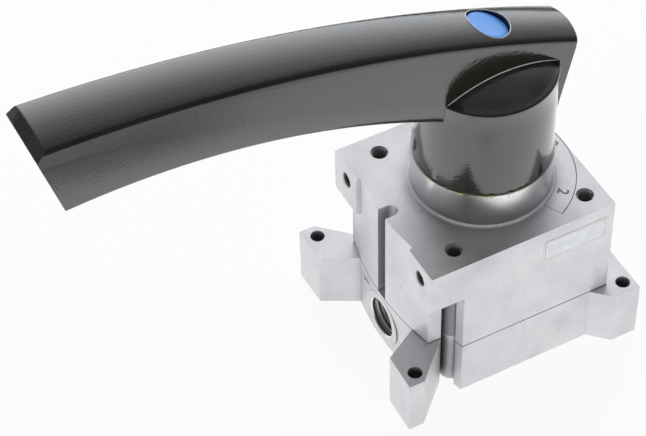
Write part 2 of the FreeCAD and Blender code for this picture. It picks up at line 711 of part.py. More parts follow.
def detentSprings():
    low = ballCentre + s.ballRadius + s.fitGap
    return group("detent_springs", [
        coilSpring("detentSpring", s.detentSpringRadius, s.detentSpringWire, low, s.detentSpringTop,
                   s.detentSpringTurns, y=s.trackRadius * back) for back in (-1, 1)])


# Lever: an arched arm with leaning flanks, its hub and skirt, and a nose that points at the dial
def arcHeight(x, anchorX, anchorZ, slope, radius):
    # height at x of an arc that passes the anchor falling towards +X at the slope
    fromCentre = x - anchorX + sine(slope) * radius
    return anchorZ - cosine(slope) * radius + beside(radius, fromCentre)


# places along the arm, as shares of its length, where its section is drawn
armShares = (0.8, 0.6, 0.4, 0.2)
channelShares = (0.93, 0.7, 0.45)
ribShares = (0.32, 0.5, 0.68, 0.83)


def armTop(x):
    return arcHeight(x, spindleAxis, s.headHeight, s.topSlope, s.topRadius)


def armCrease(x):
    return arcHeight(x, -beside(s.skirtRadius, s.headHalf), rimHeight, s.creaseSlope, s.creaseRadius)


def armBottom(x):
    return arcHeight(x, -s.skirtRadius, rootHeight, s.bottomSlope, s.bottomRadius)


def armHalf(x):
    # half width at the crease, which grows towards the arm's end
    return s.headHalf - (s.endHalf - s.headHalf) / s.armEndTop * x


def armSection(body, x):
    sketch = sketchOn(body, "YZ_Plane", x)
    half = armHalf(x)
    top = half - s.topInset
    bottom = half - s.bottomInset
    crownRadius = (top * top + s.crown * s.crown) / s.crown / 2
    # the crown starts beside the flank, and a small arc joins the two
    side = top - s.edgeDrop
    shoulder = armTop(x) + beside(crownRadius, side) - beside(crownRadius, top)
    flank = [(bottom, armBottom(x)), (half, armCrease(x)), (top, armTop(x) - s.edgeDrop), (side, shoulder)]
    mirrored = [(-y, z) for y, z in reversed(flank)]
    arcs = {2: (s.edgeRadius, 1), 3: (crownRadius, 1), 4: (s.edgeRadius, 1)}
    return addOutline(sketch, flank + mirrored, arcs)


def channelSection(body, x):
    sketch = sketchOn(body, "YZ_Plane", x)
    half = armHalf(x) - s.bottomInset - s.leverWall
    low, high = armBottom(x) - s.wideOverrun, armTop(x) - s.leverRoof
    return addOutline(sketch, boxCorners((-half, low), (half, high)))


def loft(body, kind, sections):
    feature = body.newObject(kind, body.Name + "Loft")
    feature.Profile = sections[0]
    feature.Sections = sections[1:]
    feature.Ruled = False
    return feature


def lever():
    body = newBody("lever")
    stations = [-s.armEndTop - s.overrun * 4]
    stations += [-s.armEndTop * share for share in armShares]
    stations += [spindleAxis, s.noseRadius + s.overrun * 3]
    loft(body, "PartDesign::AdditiveLoft", [armSection(body, x) for x in stations])
    # the far end leans inwards below a bevelled edge
    end = sketchOn(body, "XZ_Plane")
    endX, endZ = -s.armEndTop, armTop(-s.armEndTop) - s.armBevelHeight
    bottomZ = armBottom(-s.armEndBottom)
    lean = (s.armEndTop - s.armEndBottom) / (endZ - bottomZ)
    past = s.wideOverrun
    rise = s.armBevelHeight / s.armBevelLength * past
    addOutline(end, [
        (endX + s.armBevelLength + past, endZ + s.armBevelHeight + rise), (endX, endZ),
        (-s.armEndBottom, bottomZ), (-s.armEndBottom + lean * past, bottomZ - past),
        (endX - past, bottomZ - past), (endX - past, endZ + s.armBevelHeight + rise),
    ])
    pocket(body, end, s.endHalf * 3, midplane=True)
    # the nose is trimmed to a round form that runs down into the skirt
    nose = sketchOn(body, "XZ_Plane")
    out = s.noseRadius + s.wideOverrun
    over = s.headHeight + s.wideOverrun
    addOutline(nose, [
        (s.skirtRadius, rimHeight / 2), (out, rimHeight / 2), (out, over), (s.noseRadius, over),
        (s.noseRadius, noseHeight), (s.skirtRadius, s.noseRoot),
    ], {4: (s.noseBulge, -1)})
    spin(body, nose, "PartDesign::Groove", 180.0)
    # nothing of the arm's root stays below the hub's floor
    below = addCircle(sketchOn(body, "XY_Plane", hubFloor), 0, 0, s.noseRadius)
    pocket(body, below, hubFloor / 2)
    # the arm is open below, with cross ribs
    channel = [-s.armEndTop * share for share in channelShares] + [-s.skirtRadius - s.leverWall]
    loft(body, "PartDesign::SubtractiveLoft", [channelSection(body, x) for x in channel])
    for share in ribShares:
        x = -s.armEndTop * share
        half = armHalf(x) - s.bottomInset - s.leverWall / 2
        rib = sketchOn(body, "YZ_Plane", x)
        low, high = armBottom(x) + s.ribSetback, armTop(x) - s.leverRoof / 2
        addOutline(rib, boxCorners((-half, low), (half, high)))
        pad(body, rib, s.ribThickness)
    # hub and skirt, with a domed top
    hub = sketchOn(body, "XZ_Plane")
    domeRadius = (s.skirtRadius * s.skirtRadius + s.domeRise * s.domeRise) / s.domeRise / 2
    addOutline(hub, [
        (s.skirtBore, skirtBottom), (s.skirtRadius, skirtBottom), (s.skirtRadius, rimHeight),
        (0, rimHeight + s.domeRise), (0, hubFloor), (s.skirtBore, hubFloor),
    ], {2: (domeRadius, 1)})
    spin(body, hub)
    # the cored-out sectors: the one over the dial holds the stop pin and ends the turn
    cores = sketchOn(body, "XY_Plane", hubFloor)
    playAngle = (s.stopRadius + s.stopPlay) / s.stopPlace * math.degrees(1)
    half = s.turnAngle + playAngle
    for side in (1, -1):
        x, y = cosine(half) * side, sine(half) * side
        addOutline(cores, [
            (x * s.coreInner, -y * s.coreInner), (x * s.coreOuter, -y * s.coreOuter),
            (x * s.coreOuter, y * s.coreOuter), (x * s.coreInner, y * s.coreInner),
        ], {1: (s.coreOuter, 1), 3: (s.coreInner, -1)})
    pocket(body, cores, rimHeight - s.hubRoof - hubFloor, up=True)
    # bores for the detent balls and their springs
    for back in (-1, 1):
        drill(body, s.ballRadius + s.ballGap, s.detentSpringTop - hubFloor,
              y=s.trackRadius * back, z=hubFloor)
    # socket on the spindle's neck, well for the screw, and the seat of the cap
    socket = sketchOn(body, "XY_Plane", hubFloor)
    flat = s.neckFlat + s.fitGap
    round_ = s.neckRadius + s.fitGap
    reach = beside(round_, flat)
    addOutline(socket, [(reach, -flat), (reach, flat), (-reach, flat), (-reach, -flat)],
               {0: (round_, 1), 2: (round_, 1)})
    pocket(body, socket, wellFloor - hubFloor, up=True)
    drill(body, s.wellRadius, s.wellDepth - s.wellTopShort, z=wellFloor)
    tilt = FreeCAD.Rotation(V(0, 1, 0), s.topSlope.value)
    sunk = s.capSunk + s.capThickness
    plugRoom = sunk + s.capPlugLength + s.capPlugPlay
    for radius, depth in ((s.capRadius + s.capGap, sunk), (s.wellRadius, plugRoom)):
        drill(body, radius, depth + s.wideOverrun, -(sine(s.topSlope) * depth),
              0, s.headHeight + s.crown - cosine(s.topSlope) * depth, tilt, s.topSlope)
    return body


# Cap over the lever's screw: a disc with a hollow plug, square to the lever's top
def capDisc():
    body = newBody("cap_disc")
    inner = s.capPlugRadius - s.capPlugWall
    profile = [
        (0, 0), (inner, 0), (inner, -s.capPlugLength), (s.capPlugRadius, -s.capPlugLength),
        (s.capPlugRadius, 0), (s.capRadius, 0), (s.capRadius, s.capThickness), (0, s.capThickness),
    ]
    spin(body, addOutline(sketchOn(body, "XZ_Plane"), profile))
    sunk = s.capSunk + s.capThickness
    tilt = FreeCAD.Rotation(V(0, 1, 0), s.topSlope.value)
    return place(body, -(sine(s.topSlope) * sunk), 0,
                 s.headHeight + s.crown - cosine(s.topSlope) * sunk, tilt, s.topSlope)


def leverFastening():
    washer = ring("lever_washer", s.leverScrewRadius + s.capGap, s.leverWasherRadius,
                  wellFloor, s.leverWasherThickness)
    screw = capScrew("lever_screw", s.leverScrewRadius - s.fitGap, s.leverScrewLength,
                     s.leverScrewHeadRadius, s.leverScrewHeadHeight, z=wellFloor + s.leverWasherThickness)
    screw.Label = "lever_screw"
    return [washer, screw]


pieces = [
    lowerHousing(), upperHousing(), seatPlate(), seatSeals(), seatPins(), chamberSeal(),
    housingScrews(), *spindleGuides(), slideDisc(), spindle(), *spindleExtras(),
    detentPlate(), plateScrews(), stopPin(), detentBalls(), detentSprings(),
    lever(), capDisc(), *leverFastening(),
]
doc.recompute()

# Every object must have built, and every piece must be a sound solid, before any is written
failed = [item.Label for item in doc.Objects if "Invalid" in item.State or "Error" in item.State]
if failed:
    raise RuntimeError("did not build: " + ", ".join(failed))
for piece in pieces:
    if piece.Shape.isNull() or not piece.Shape.isValid() or not piece.Shape.Solids:
        raise RuntimeError("%s has no sound solid" % piece.Label)
os.makedirs("parts", exist_ok=True)
for piece in pieces:
    piece.Shape.exportStep("parts/%s.step" % piece.Label)
    box = piece.Shape.BoundBox
    print("%-16s %d solids %9.1f mm3  z %.2f to %.2f" % (
        piece.Label, len(piece.Shape.Solids), piece.Shape.Volume, box.ZMin, box.ZMax))
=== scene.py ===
import json
import math
import bmesh
import bpy
from mathutils import Matrix, Vector


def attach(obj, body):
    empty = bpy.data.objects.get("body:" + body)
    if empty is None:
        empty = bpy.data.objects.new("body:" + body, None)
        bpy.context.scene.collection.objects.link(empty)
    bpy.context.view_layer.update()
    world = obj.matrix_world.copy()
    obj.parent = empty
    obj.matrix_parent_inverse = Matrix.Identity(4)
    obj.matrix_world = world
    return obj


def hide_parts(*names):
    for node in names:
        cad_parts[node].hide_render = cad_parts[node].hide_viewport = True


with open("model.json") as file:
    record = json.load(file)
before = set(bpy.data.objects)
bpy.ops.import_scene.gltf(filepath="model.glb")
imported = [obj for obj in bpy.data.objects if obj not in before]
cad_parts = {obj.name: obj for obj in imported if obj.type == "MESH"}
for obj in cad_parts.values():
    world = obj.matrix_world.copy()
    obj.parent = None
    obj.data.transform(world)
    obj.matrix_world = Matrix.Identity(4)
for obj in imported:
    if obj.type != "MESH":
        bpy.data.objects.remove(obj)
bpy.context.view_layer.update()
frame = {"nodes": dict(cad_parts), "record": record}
mm = 0.001
print("frame loaded:", len(frame["nodes"]), "nodes")


def addObject(name, data):
    thing = bpy.data.objects.new(name, data)
    bpy.context.scene.collection.objects.link(thing)
    return thing


def turned(degrees, axis):
    return Matrix.Rotation(math.radians(degrees), 4, axis)


def moved(x, y, z):
    return Matrix.Translation((x, y, z))


# the camera stands at the photo's place, found from the housing's straight edges
cameraPlace = {
    "azimuth": -26.711,
    "elevation": 47.858,
    "roll": -1.660,
    "distance": 658.574,
    "right": -46.413,
    "up": -13.093,
    "aimHeight": 56.6,
    "lens": 125.0,
    "sensor": 36.0,
    "farthest": 20,
}


def makeCamera(c):
    azimuth, elevation, roll = (math.radians(c[name]) for name in ("azimuth", "elevation", "roll"))
    back = Vector((math.sin(azimuth) * math.cos(elevation), -math.cos(azimuth) * math.cos(elevation),
                   math.sin(elevation)))
    level = Vector((0, 0, 1)).cross(back).normalized()
    upright = back.cross(level)
    right = level * math.cos(roll) + upright * math.sin(roll)
    up = upright * math.cos(roll) - level * math.sin(roll)
    spot = right * c["right"] + up * c["up"] + back * c["distance"] + Vector((0, 0, c["aimHeight"]))
    data = bpy.data.cameras.new("camera")
    data.lens = c["lens"]
    data.sensor_width = c["sensor"]
    data.clip_end = c["farthest"]
    camera = addObject("camera", data)
    turn = Matrix((right, up, back)).transposed().to_4x4()
    camera.matrix_world = Matrix.Translation(spot * mm) @ turn
    bpy.context.scene.camera = camera


makeCamera(cameraPlace)
bpy.context.scene.view_settings.view_transform = "Standard"


# short ways to build node trees
def feed(tree, node, inputs):
    # an input gets a plain value, or a link from another node's output
    for name, value in inputs.items():
        if hasattr(value, "is_output"):
            tree.links.new(value, node.inputs[name])
        else:
            node.inputs[name].default_value = value
    return node


def addNode(tree, kind, inputs=None, **settings):
    node = tree.nodes.new(kind)
    for name, value in settings.items():
        setattr(node, name, value)
    return feed(tree, node, inputs or {})


def mathOn(tree, operation, *inputs, kind="ShaderNodeMath"):
    return addNode(tree, kind, dict(enumerate(inputs)), operation=operation).outputs["Value"]


def times(tree, first, second):
    return mathOn(tree, "MULTIPLY", first, second)


def between(tree, value, start, end, low=0.0, high=1.0, step="SMOOTHSTEP"):
    # goes from low to high while the value goes from start to end
    inputs = {"Value": value, "From Min": start, "From Max": end, "To Min": low, "To Max": high}
    return addNode(tree, "ShaderNodeMapRange", inputs, interpolation_type=step).outputs[0]


def placeOn(tree, kind="Object"):
    return addNode(tree, "ShaderNodeTexCoord").outputs[kind]


def splitOn(tree, kind="Object"):
    return addNode(tree, "ShaderNodeSeparateXYZ", {0: placeOn(tree, kind)}).outputs


def rampOn(tree, source, stops):
    # each stop is a place and a colour, or a place and a grey tone
    ramp = addNode(tree, "ShaderNodeValToRGB", {"Fac": source})
    elements = ramp.color_ramp.elements
    for place, _ in stops[1:-1]:
        elements.new(place)
    for element, (place, colour) in zip(elements, stops):
        element.position = place
        element.color = (*colour, 1) if isinstance(colour, tuple) else (colour, colour, colour, 1)
    return ramp.outputs["Color"]


def mixShaders(tree, factor, first, second):
    return addNode(tree, "ShaderNodeMixShader", {0: factor, 1: first.outputs[0], 2: second.outputs[0]})


def newFinish(name, colour, metallic, roughness):
    material = bpy.data.materials.new(name)
    material.use_nodes = True
    tree = material.node_tree
    shader = feed(tree, tree.nodes["Principled BSDF"],
                  {"Base Color": (*colour, 1), "Metallic": metallic, "Roughness": roughness})
    return material, tree, shader


# a white sweep and large soft lamps, as for a catalogue picture
studio = {
    "floorSize": 6.0,
    "floorDrop": 0.0002,
    "floorColour": (0.86, 0.86, 0.87),
    "floorRough": 0.9,
    "floorWhite": 0.93,
    "ambient": 0.13,
    "ambientColour": (0.97, 0.98, 1.0, 1),
    # what polished faces mirror: a tall soft screen behind the valve. Its tones run from 0,
    # straight away from it, to 1, straight at it
    "screenAzimuth": 65.0,
    "screenTones": [(0.0, 0.03), (0.35, 0.09), (0.55, 0.33), (0.65, 0.38), (0.80, 1.0), (0.90, 1.8),
                    (0.97, 2.4)],
    "screenEdge": (0.42, 0.66),
    "screenBeside": 0.6,
    "screenColour": (0.93, 0.96, 1.0, 1),
    # the paper in mirrors: a painted pool of light close by, and a painted shadow where the valve throws its
    # shade forward
    "paperPaintedLight": (-0.168, -0.146, 1.5),
    "paperPaintedShadow": ((-0.07, -0.142, 0.0), 0.02, 0.065, 0.5),
    "floorReach": (0.45, 0.80),
    "room": 0.12,
    "aim": (0, 0, 0.07),
    "lamps": [
        # place in metres, size, watts
        ((0.35, 1.05, 0.58), 1.10, 14.5),
        ((0.95, 0.80, 0.60), 0.8, 7.0),
        ((-0.90, -0.50, 0.16), 0.6, 6.0),
        ((0.30, -1.05, 0.18), 0.6, 4.4),
    ],
}


def makeLamp(place, size, power, aim):
    data = bpy.data.lights.new("softbox", "AREA")
    data.shape = "SQUARE"
    data.size = size
    data.energy = power
    lamp = addObject("softbox", data)
    lamp.location = place
    lamp.visible_glossy = False
    lamp.rotation_euler = (Vector(aim) - Vector(place)).to_track_quat("-Z", "Y").to_euler()


def makeWorld(s):
    # white to the eye, even light for soft shading, and in mirrors a bright screen behind
    world = bpy.data.worlds.new("studio")
    bpy.context.scene.world = world
    world.use_nodes = True
    tree = world.node_tree
    tree.nodes.clear()
    x, y = splitOn(tree, "Generated")[:2]
    azimuth = math.radians(s["screenAzimuth"])
    east, north = math.cos(azimuth), math.sin(azimuth)
    towards = mathOn(tree, "ADD", times(tree, x, east), times(tree, y, north))
    across = mathOn(tree, "SUBTRACT", times(tree, x, north), times(tree, y, east))
    brightest = s["screenTones"][-1][1]
    tones = rampOn(tree, mathOn(tree, "MULTIPLY_ADD", towards, 0.5, 0.5),
                   [(place, tone / brightest) for place, tone in s["screenTones"]])
    beside = between(tree, mathOn(tree, "ABSOLUTE", across), *s["screenEdge"], 1.0, s["screenBeside"])
    screen = times(tree, times(tree, tones, beside), brightest)
    seen, ambient, mirrored = (
        addNode(tree, "ShaderNodeBackground", {"Color": colour, "Strength": strength})
        for colour, strength in (((1, 1, 1, 1), 1.0), (s["ambientColour"], s["ambient"]),
                                 (s["screenColour"], screen)))
    path = addNode(tree, "ShaderNodeLightPath").outputs
    lit = mixShaders(tree, path["Is Glossy Ray"], ambient, mirrored)
    shown = mixShaders(tree, path["Is Camera Ray"], lit, seen)
    addNode(tree, "ShaderNodeOutputWorld", {"Surface": shown.outputs[0]})


def makeFloor(s):
    half = s["floorSize"] / 2
    mesh = bpy.data.meshes.new("floor")
    corners = [(-half, -half), (half, -half), (half, half), (-half, half)]
    mesh.from_pydata([(x, y, -s["floorDrop"]) for x, y in corners], [], [(0, 1, 2, 3)])
    floor = addObject("floor", mesh)
    paper, tree, shader = newFinish("studioPaper", s["floorColour"], 0.0, s["floorRough"])
    mesh.materials.append(paper)
    path = addNode(tree, "ShaderNodeLightPath").outputs
    seen, mirror = path["Is Camera Ray"], path["Is Glossy Ray"]
    # the paper reads as white to the eye, but keeps the shade under the valve
    place = placeOn(tree)
    # in mirrors only: a painted pool of light near the valve, and a painted shadow in front of it
    start, end, gain = s["paperPaintedLight"]
    spot, inner, outer, shade = s["paperPaintedShadow"]
    apart = mathOn(tree, "DISTANCE", place, spot, kind="ShaderNodeVectorMath")
    tone = times(tree, between(tree, splitOn(tree)["Y"], start, end, 1.0, gain),
                 between(tree, apart, inner, outer, shade, 1.0))
    tone = times(tree, mathOn(tree, "SUBTRACT", tone, 1.0), mirror)
    white = addNode(tree, "ShaderNodeEmission", {"Strength": mathOn(tree, "ADD", tone, 1.0)})
    share = times(tree, mathOn(tree, "MAXIMUM", seen, mirror), s["floorWhite"])
    near = mixShaders(tree, share, shader, white)
    # polished faces see the paper end in a dark room
    room = addNode(tree, "ShaderNodeEmission", {"Strength": s["room"]})
    away = mathOn(tree, "LENGTH", place, kind="ShaderNodeVectorMath")
    far = between(tree, away, *s["floorReach"])
    whole = mixShaders(tree, times(tree, far, mirror), near, room)
    feed(tree, tree.nodes["Material Output"], {"Surface": whole.outputs[0]})


makeWorld(studio)
makeFloor(studio)
for lampPlace, lampSize, lampPower in studio["lamps"]:
    makeLamp(lampPlace, lampSize, lampPower, studio["aim"])
print("studio set")


# finishes: each is one material with its own grain, worked out on object coordinates
def noiseOn(tree, scale, detail, stretch=(1, 1, 1)):
    # scale is in grains per metre
    mapping = addNode(tree, "ShaderNodeMapping", {"Vector": placeOn(tree), "Scale": stretch})
    inputs = {"Vector": mapping.outputs[0], "Scale": scale, "Detail": detail}
    return addNode(tree, "ShaderNodeTexNoise", inputs).outputs["Fac"]


def grainOn(tree, scale, detail, *stops):
    return rampOn(tree, noiseOn(tree, scale, detail), stops)


def multiplyOn(tree, first, second):
    # inputs 6 and 7 are the node's two colours
    return addNode(tree, "ShaderNodeMix", {0: 1.0, 6: first, 7: second},
                   data_type="RGBA", blend_type="MULTIPLY").outputs[2]


def bumpOn(tree, shader, scale, detail, strength, depth, stretch=(1, 1, 1)):
    inputs = {"Height": noiseOn(tree, scale, detail, stretch), "Strength": strength, "Distance": depth}
    feed(tree, shader, {"Normal": addNode(tree, "ShaderNodeBump", inputs).outputs[0]})


castAlloy = {
    "colour": (0.68, 0.68, 0.71), "metallic": 0.35, "roughness": 0.48,
    # grains per metre, detail, and two stops
    "clouds": (90, 4, (0.3, (0.66, 0.66, 0.69)), (0.7, (0.73, 0.73, 0.75))),
    "specks": (1500, 2, (0.30, 0.90), (0.42, 1.0)),
    "smudges": (34, 6, (0.56, 1.0), (0.72, 0.86)),
    "sheen": (260, 3, (0.3, 0.42), (0.7, 0.54)),
    # grains per metre, detail, strength, depth in metres
    "pits": (2600, 2, 0.35, 0.00012),
    # painted shade in holes, slots and corners: reach of the occlusion in mm, and two stops that darken the
    # colour
    "cornerShadeReach": 7.0, "corners": [(0.15, 0.22), (0.85, 1.0)],
}
seamLine = {"bottom": 20.2, "width": 0.42, "full": 0.8, "dark": 0.04}


def paintedCornerShade(tree, a):
    # painted shade: holes, slots and corners are darkened in colour where little light reaches them
    near = addNode(tree, "ShaderNodeAmbientOcclusion", {"Distance": a["cornerShadeReach"] * mm},
                   samples=12, only_local=True)
    return rampOn(tree, near.outputs["AO"], a["corners"])


def seamShade(tree, s):
    # the thin gap between the two housings
    start, end = (s["bottom"] + s["width"] * share for share in (s["full"], 1.0))
    return between(tree, splitOn(tree)["Z"], start * mm, end * mm, s["dark"], 1.0, "LINEAR")


def makeCastAlloy(name, a, seam=None):
    # bead-blasted die casting: fine pitting, faint clouds, light scuffs, and painted shade in its corners
    material, tree, shader = newFinish(name, a["colour"], a["metallic"], a["roughness"])
    colour = grainOn(tree, *a["clouds"])
    shades = [grainOn(tree, *a["specks"]), grainOn(tree, *a["smudges"]), paintedCornerShade(tree, a)]
    if seam:
        shades.append(seamShade(tree, seam))
    for shade in shades:
        colour = multiplyOn(tree, colour, shade)
    feed(tree, shader, {"Base Color": colour, "Roughness": grainOn(tree, *a["sheen"])})
    bumpOn(tree, shader, *a["pits"])
    return material


def tintOn(tree, shader, colour, shares, scale, detail, places=(0.3, 0.7)):
    # the colour wanders a little, between two shares of itself
    stops = [(place, tuple(channel * share for channel in colour)) for place, share in zip(places, shares)]
    feed(tree, shader, {"Base Color": grainOn(tree, scale, detail, *stops)})


def makeMetal(name, colour, metallic, roughness, grain=1800):
    material, tree, shader = newFinish(name, colour, metallic, roughness)
    tintOn(tree, shader, colour, shares=(0.94, 1.03), scale=grain / 2, detail=2)
    bumpOn(tree, shader, grain, detail=2, strength=0.15, depth=0.00002, stretch=(1, 1, 8))
    return material


def makePlastic(name, colour, roughness, grain):
    material, tree, shader = newFinish(name, colour, 0.0, roughness)
    tintOn(tree, shader, colour, shares=(0.94, 1.04), scale=grain, detail=2, places=(0.35, 0.65))
    bumpOn(tree, shader, grain * 6, detail=2, strength=0.1, depth=0.00005)
    return material


# ridge: grey of the painted highlight on the bead where the flanks meet the dome
leverCoat = {"colour": (0.019, 0.019, 0.015), "roughness": 0.13, "ior": 1.75,
             "peel": (1100, 1, 0.12, 0.0003), "ridge": 0.8}


def makeLeverCoat(c):
    # thick stoved coat with orange peel
    material, tree, shader = newFinish("leverCoat", c["colour"], 0.0, c["roughness"])
    feed(tree, shader, {"IOR": c["ior"]})
    tintOn(tree, shader, c["colour"], shares=(0.85, 1.15), scale=60, detail=3)
    bumpOn(tree, shader, *c["peel"])
    return material


def makeRidgeHighlight(c):
    # painted highlight: dull and light, for the light that the edge catches
    material, tree, shader = newFinish("paintedRidgeHighlight", [c["ridge"]] * 3, 0.0, 1.0)
    feed(tree, shader, {"Specular IOR Level": 0.0})
    return material


metals = {
    # colour, metallic, roughness, and grains per metre where they're finer
    "turnedSteel": ((0.6, 0.6, 0.61), 1.0, 0.32),
    "polishedSteel": ((0.75, 0.75, 0.76), 1.0, 0.1),
    "sinteredBronze": ((0.5, 0.3, 0.14), 1.0, 0.42),
    "lappedBrass": ((0.68, 0.5, 0.22), 1.0, 0.25),
    "turnedAlloy": ((0.74, 0.74, 0.75), 1.0, 0.3, 2600),
    # painted shade, lighter: the notch walls under the ears and the top's outer edge
    "paintedSoftShade": ((0.30, 0.30, 0.31), 0.4, 0.5),
    "threadAlloy": ((0.50, 0.50, 0.49), 0.6, 0.42),
    # painted shade, deep: bore walls, the side holes' threads, and the port seat's bore and foot
    "paintedDeepShade": ((0.17, 0.17, 0.175), 0.6, 0.55),
    # painted highlight round the cap's seat
    "paintedSeatHighlight": ((0.52, 0.55, 0.54), 0.6, 0.35),
}
plastics = {
    # colour, roughness, grains per metre
    "capBlue": ((0.11, 0.36, 0.93), 0.4, 300),
    "sealRubber": ((0.02, 0.02, 0.02), 0.6, 500),
    "discAcetal": ((0.82, 0.80, 0.74), 0.35, 400),
    "dialInk": ((0.09, 0.09, 0.10), 0.6, 900),
    "greaseYellow": ((0.50, 0.46, 0.25), 0.35, 800),
    "scribeInk": ((0.24, 0.24, 0.25), 0.6, 900),
    "labelFoil": ((0.86, 0.88, 0.90), 0.4, 300),
    "labelLine": ((0.35, 0.31, 0.24), 0.5, 500),
}
slotFinishes = {
    "housing_alloy": "castAlloy", "lever_coat": "leverCoat", "cap_plastic": "capBlue",
    "seal_rubber": "sealRubber", "steel": "turnedSteel", "ball_steel": "polishedSteel",
    "bush_bronze": "sinteredBronze", "seat_brass": "lappedBrass", "disc_plastic": "discAcetal",
}
finishes = {
    "castAlloy": makeCastAlloy("castAlloy", castAlloy),
    "coverAlloy": makeCastAlloy("coverAlloy", castAlloy, seamLine),
    "leverCoat": makeLeverCoat(leverCoat),
    "paintedRidgeHighlight": makeRidgeHighlight(leverCoat),
}
finishes.update({name: makeMetal(name, *values) for name, values in metals.items()})
finishes.update({name: makePlastic(name, *values) for name, values in plastics.items()})


def coat(thing, *names):
    thing.data.materials.clear()
    for name in names:
        thing.data.materials.append(finishes[name])


for subpart in frame["record"]["subparts"]:
    coat(frame["nodes"][subpart["node"]], slotFinishes[subpart["material_slot"]])
print("finishes made")


# solids: each is made in millimetres and kept in metres
def applyModifiers(thing):
    graph = bpy.context.evaluated_depsgraph_get()
    result = bpy.data.meshes.new_from_object(thing.evaluated_get(graph))
    thing.modifiers.clear()
    thing.data = result


def keepMesh(name, work):
    bmesh.ops.recalc_face_normals(work, faces=work.faces)
    bmesh.ops.scale(work, vec=(mm, mm, mm), verts=work.verts)
    mesh = bpy.data.meshes.new(name)
    work.to_mesh(mesh)
    work.free()
    return addObject(name, mesh)


def joinRings(work, rings, closed=True):
    # faces between rows of corners; where two corners are one, the face is a triangle
    for low, high in zip(rings, rings[1:]):
        count = max(len(low), len(high))
        for i in range(count if closed else count - 1):
            after = (i + 1) % count
            face = list(dict.fromkeys((low[i % len(low)], low[after % len(low)],
                                       high[after % len(high)], high[i % len(high)])))
            if len(face) > 2:
                work.faces.new(face)


def polar(radius, angle):
    return radius * math.cos(angle), radius * math.sin(angle)


def spunSolid(name, outline, steps, turn=None):
    # a closed solid of revolution about the Z axis from (radius, height) corners
    work = bmesh.new()
    angles = [math.tau * step / steps for step in range(steps)]
    rings = [[work.verts.new((*polar(radius, a), height)) for a in (angles if radius else angles[:1])]
             for radius, height in outline]
    joinRings(work, rings + rings[:1])
    if turn:
        work.transform(turn)
    return keepMesh(name, work)


def roundBar(name, radius, low, high, steps, turn=None):
    return spunSolid(name, [(0, low), (radius, low), (radius, high), (0, high)], steps, turn)


def prismSolid(name, outline, low, high):
    # a straight prism from (x, y) corners between two heights
    work = bmesh.new()
    ends = [[work.verts.new((x, y, z)) for x, y in outline] for z in (low, high)]
    work.faces.new(ends[0])
    work.faces.new(ends[1])
    joinRings(work, ends)
    return keepMesh(name, work)


def boxSolid(name, low, high):
    return prismSolid(name, [(low[0], low[1]), (high[0], low[1]), (high[0], high[1]), (low[0], high[1])],
                      low[2], high[2])


def tubeAlong(name, points, radii, closed=False):
    # a bar with eight sides through points, with a radius at each
    work = bmesh.new()
    angles = [math.tau * step / 8 for step in range(8)]
    rings = []
    total = len(points)
    for i, (point, radius) in enumerate(zip(points, radii)):
        before = points[(i - 1) % total] if closed or i else points[0]
        after = points[(i + 1) % total] if closed or i < total - 1 else points[-1]
        along = (Vector(after) - Vector(before)).normalized()
        side = along.cross(Vector((0, 0, 1)) if abs(along.z) < 0.9 else Vector((1, 0, 0))).normalized()
        up = side.cross(along)
        rings.append([work.verts.new(Vector(point) + radius * (side * math.cos(a) + up * math.sin(a)))
                      for a in angles])
    joinRings(work, rings + rings[:1] if closed else rings)
    if not closed:
        work.faces.new(rings[0])
        work.faces.new(rings[-1])
    return keepMesh(name, work)


def joinPieces(name, parts):
    # one mesh from several, each in place
    work = bmesh.new()
    finishList = []
    for part in parts:
        mesh = part.data
        mesh.transform(part.matrix_world)
        first = len(finishList)
        finishList += list(mesh.materials)
        count = len(work.faces)
        work.from_mesh(mesh)
        work.faces.ensure_lookup_table()
        for face in work.faces[count:]:
            face.material_index += first
        bpy.data.objects.remove(part)
    mesh = bpy.data.meshes.new(name)
    work.to_mesh(mesh)
    work.free()
    for finish in finishList:
        mesh.materials.append(finish)
    return addObject(name, mesh)


def addModifier(thing, name, kind, **settings):
    modifier = thing.modifiers.new(name, kind)
    for label, value in settings.items():
        setattr(modifier, label, value)
    return modifier


def combine(base, tool, operation):
    addModifier(base, "solid", "BOOLEAN", operation=operation, solver="EXACT", object=tool)
    applyModifiers(base)
    bpy.data.objects.remove(tool)


# housings: the cast shells with their edges broken
castEdges = {"width": 0.35, "segments": 2, "angle": 32, "even": 90}

# where the collar gets its turned finish and walls and edges get painted shade: reaches from the holes'
# middles, and bands
housingPlaces = {
    "collarLow": 57.5, "collarBand": (20.5, 21.7),
    "edgeBand": (56.2, 56.58), "edgeSlope": (0.2, 0.95), "edgeOutside": 25,
    "holePitch": 22.0, "holeReach": 2.4, "topBand": (43.6, 56.1),
    "sideHoleHeight": 50.4, "sideBand": (-33.15, -25.2),
    "portHeight": 9.9, "portPitch": 19.0, "portReach": 6.4, "supplyBand": (-31.8, -19.4),
    "portBand": (22.4, 34.8), "notchBoss": (20.5, 4.2, 20.3, 41.5),
}


def within(value, band):
    return band[0] < value < band[1]


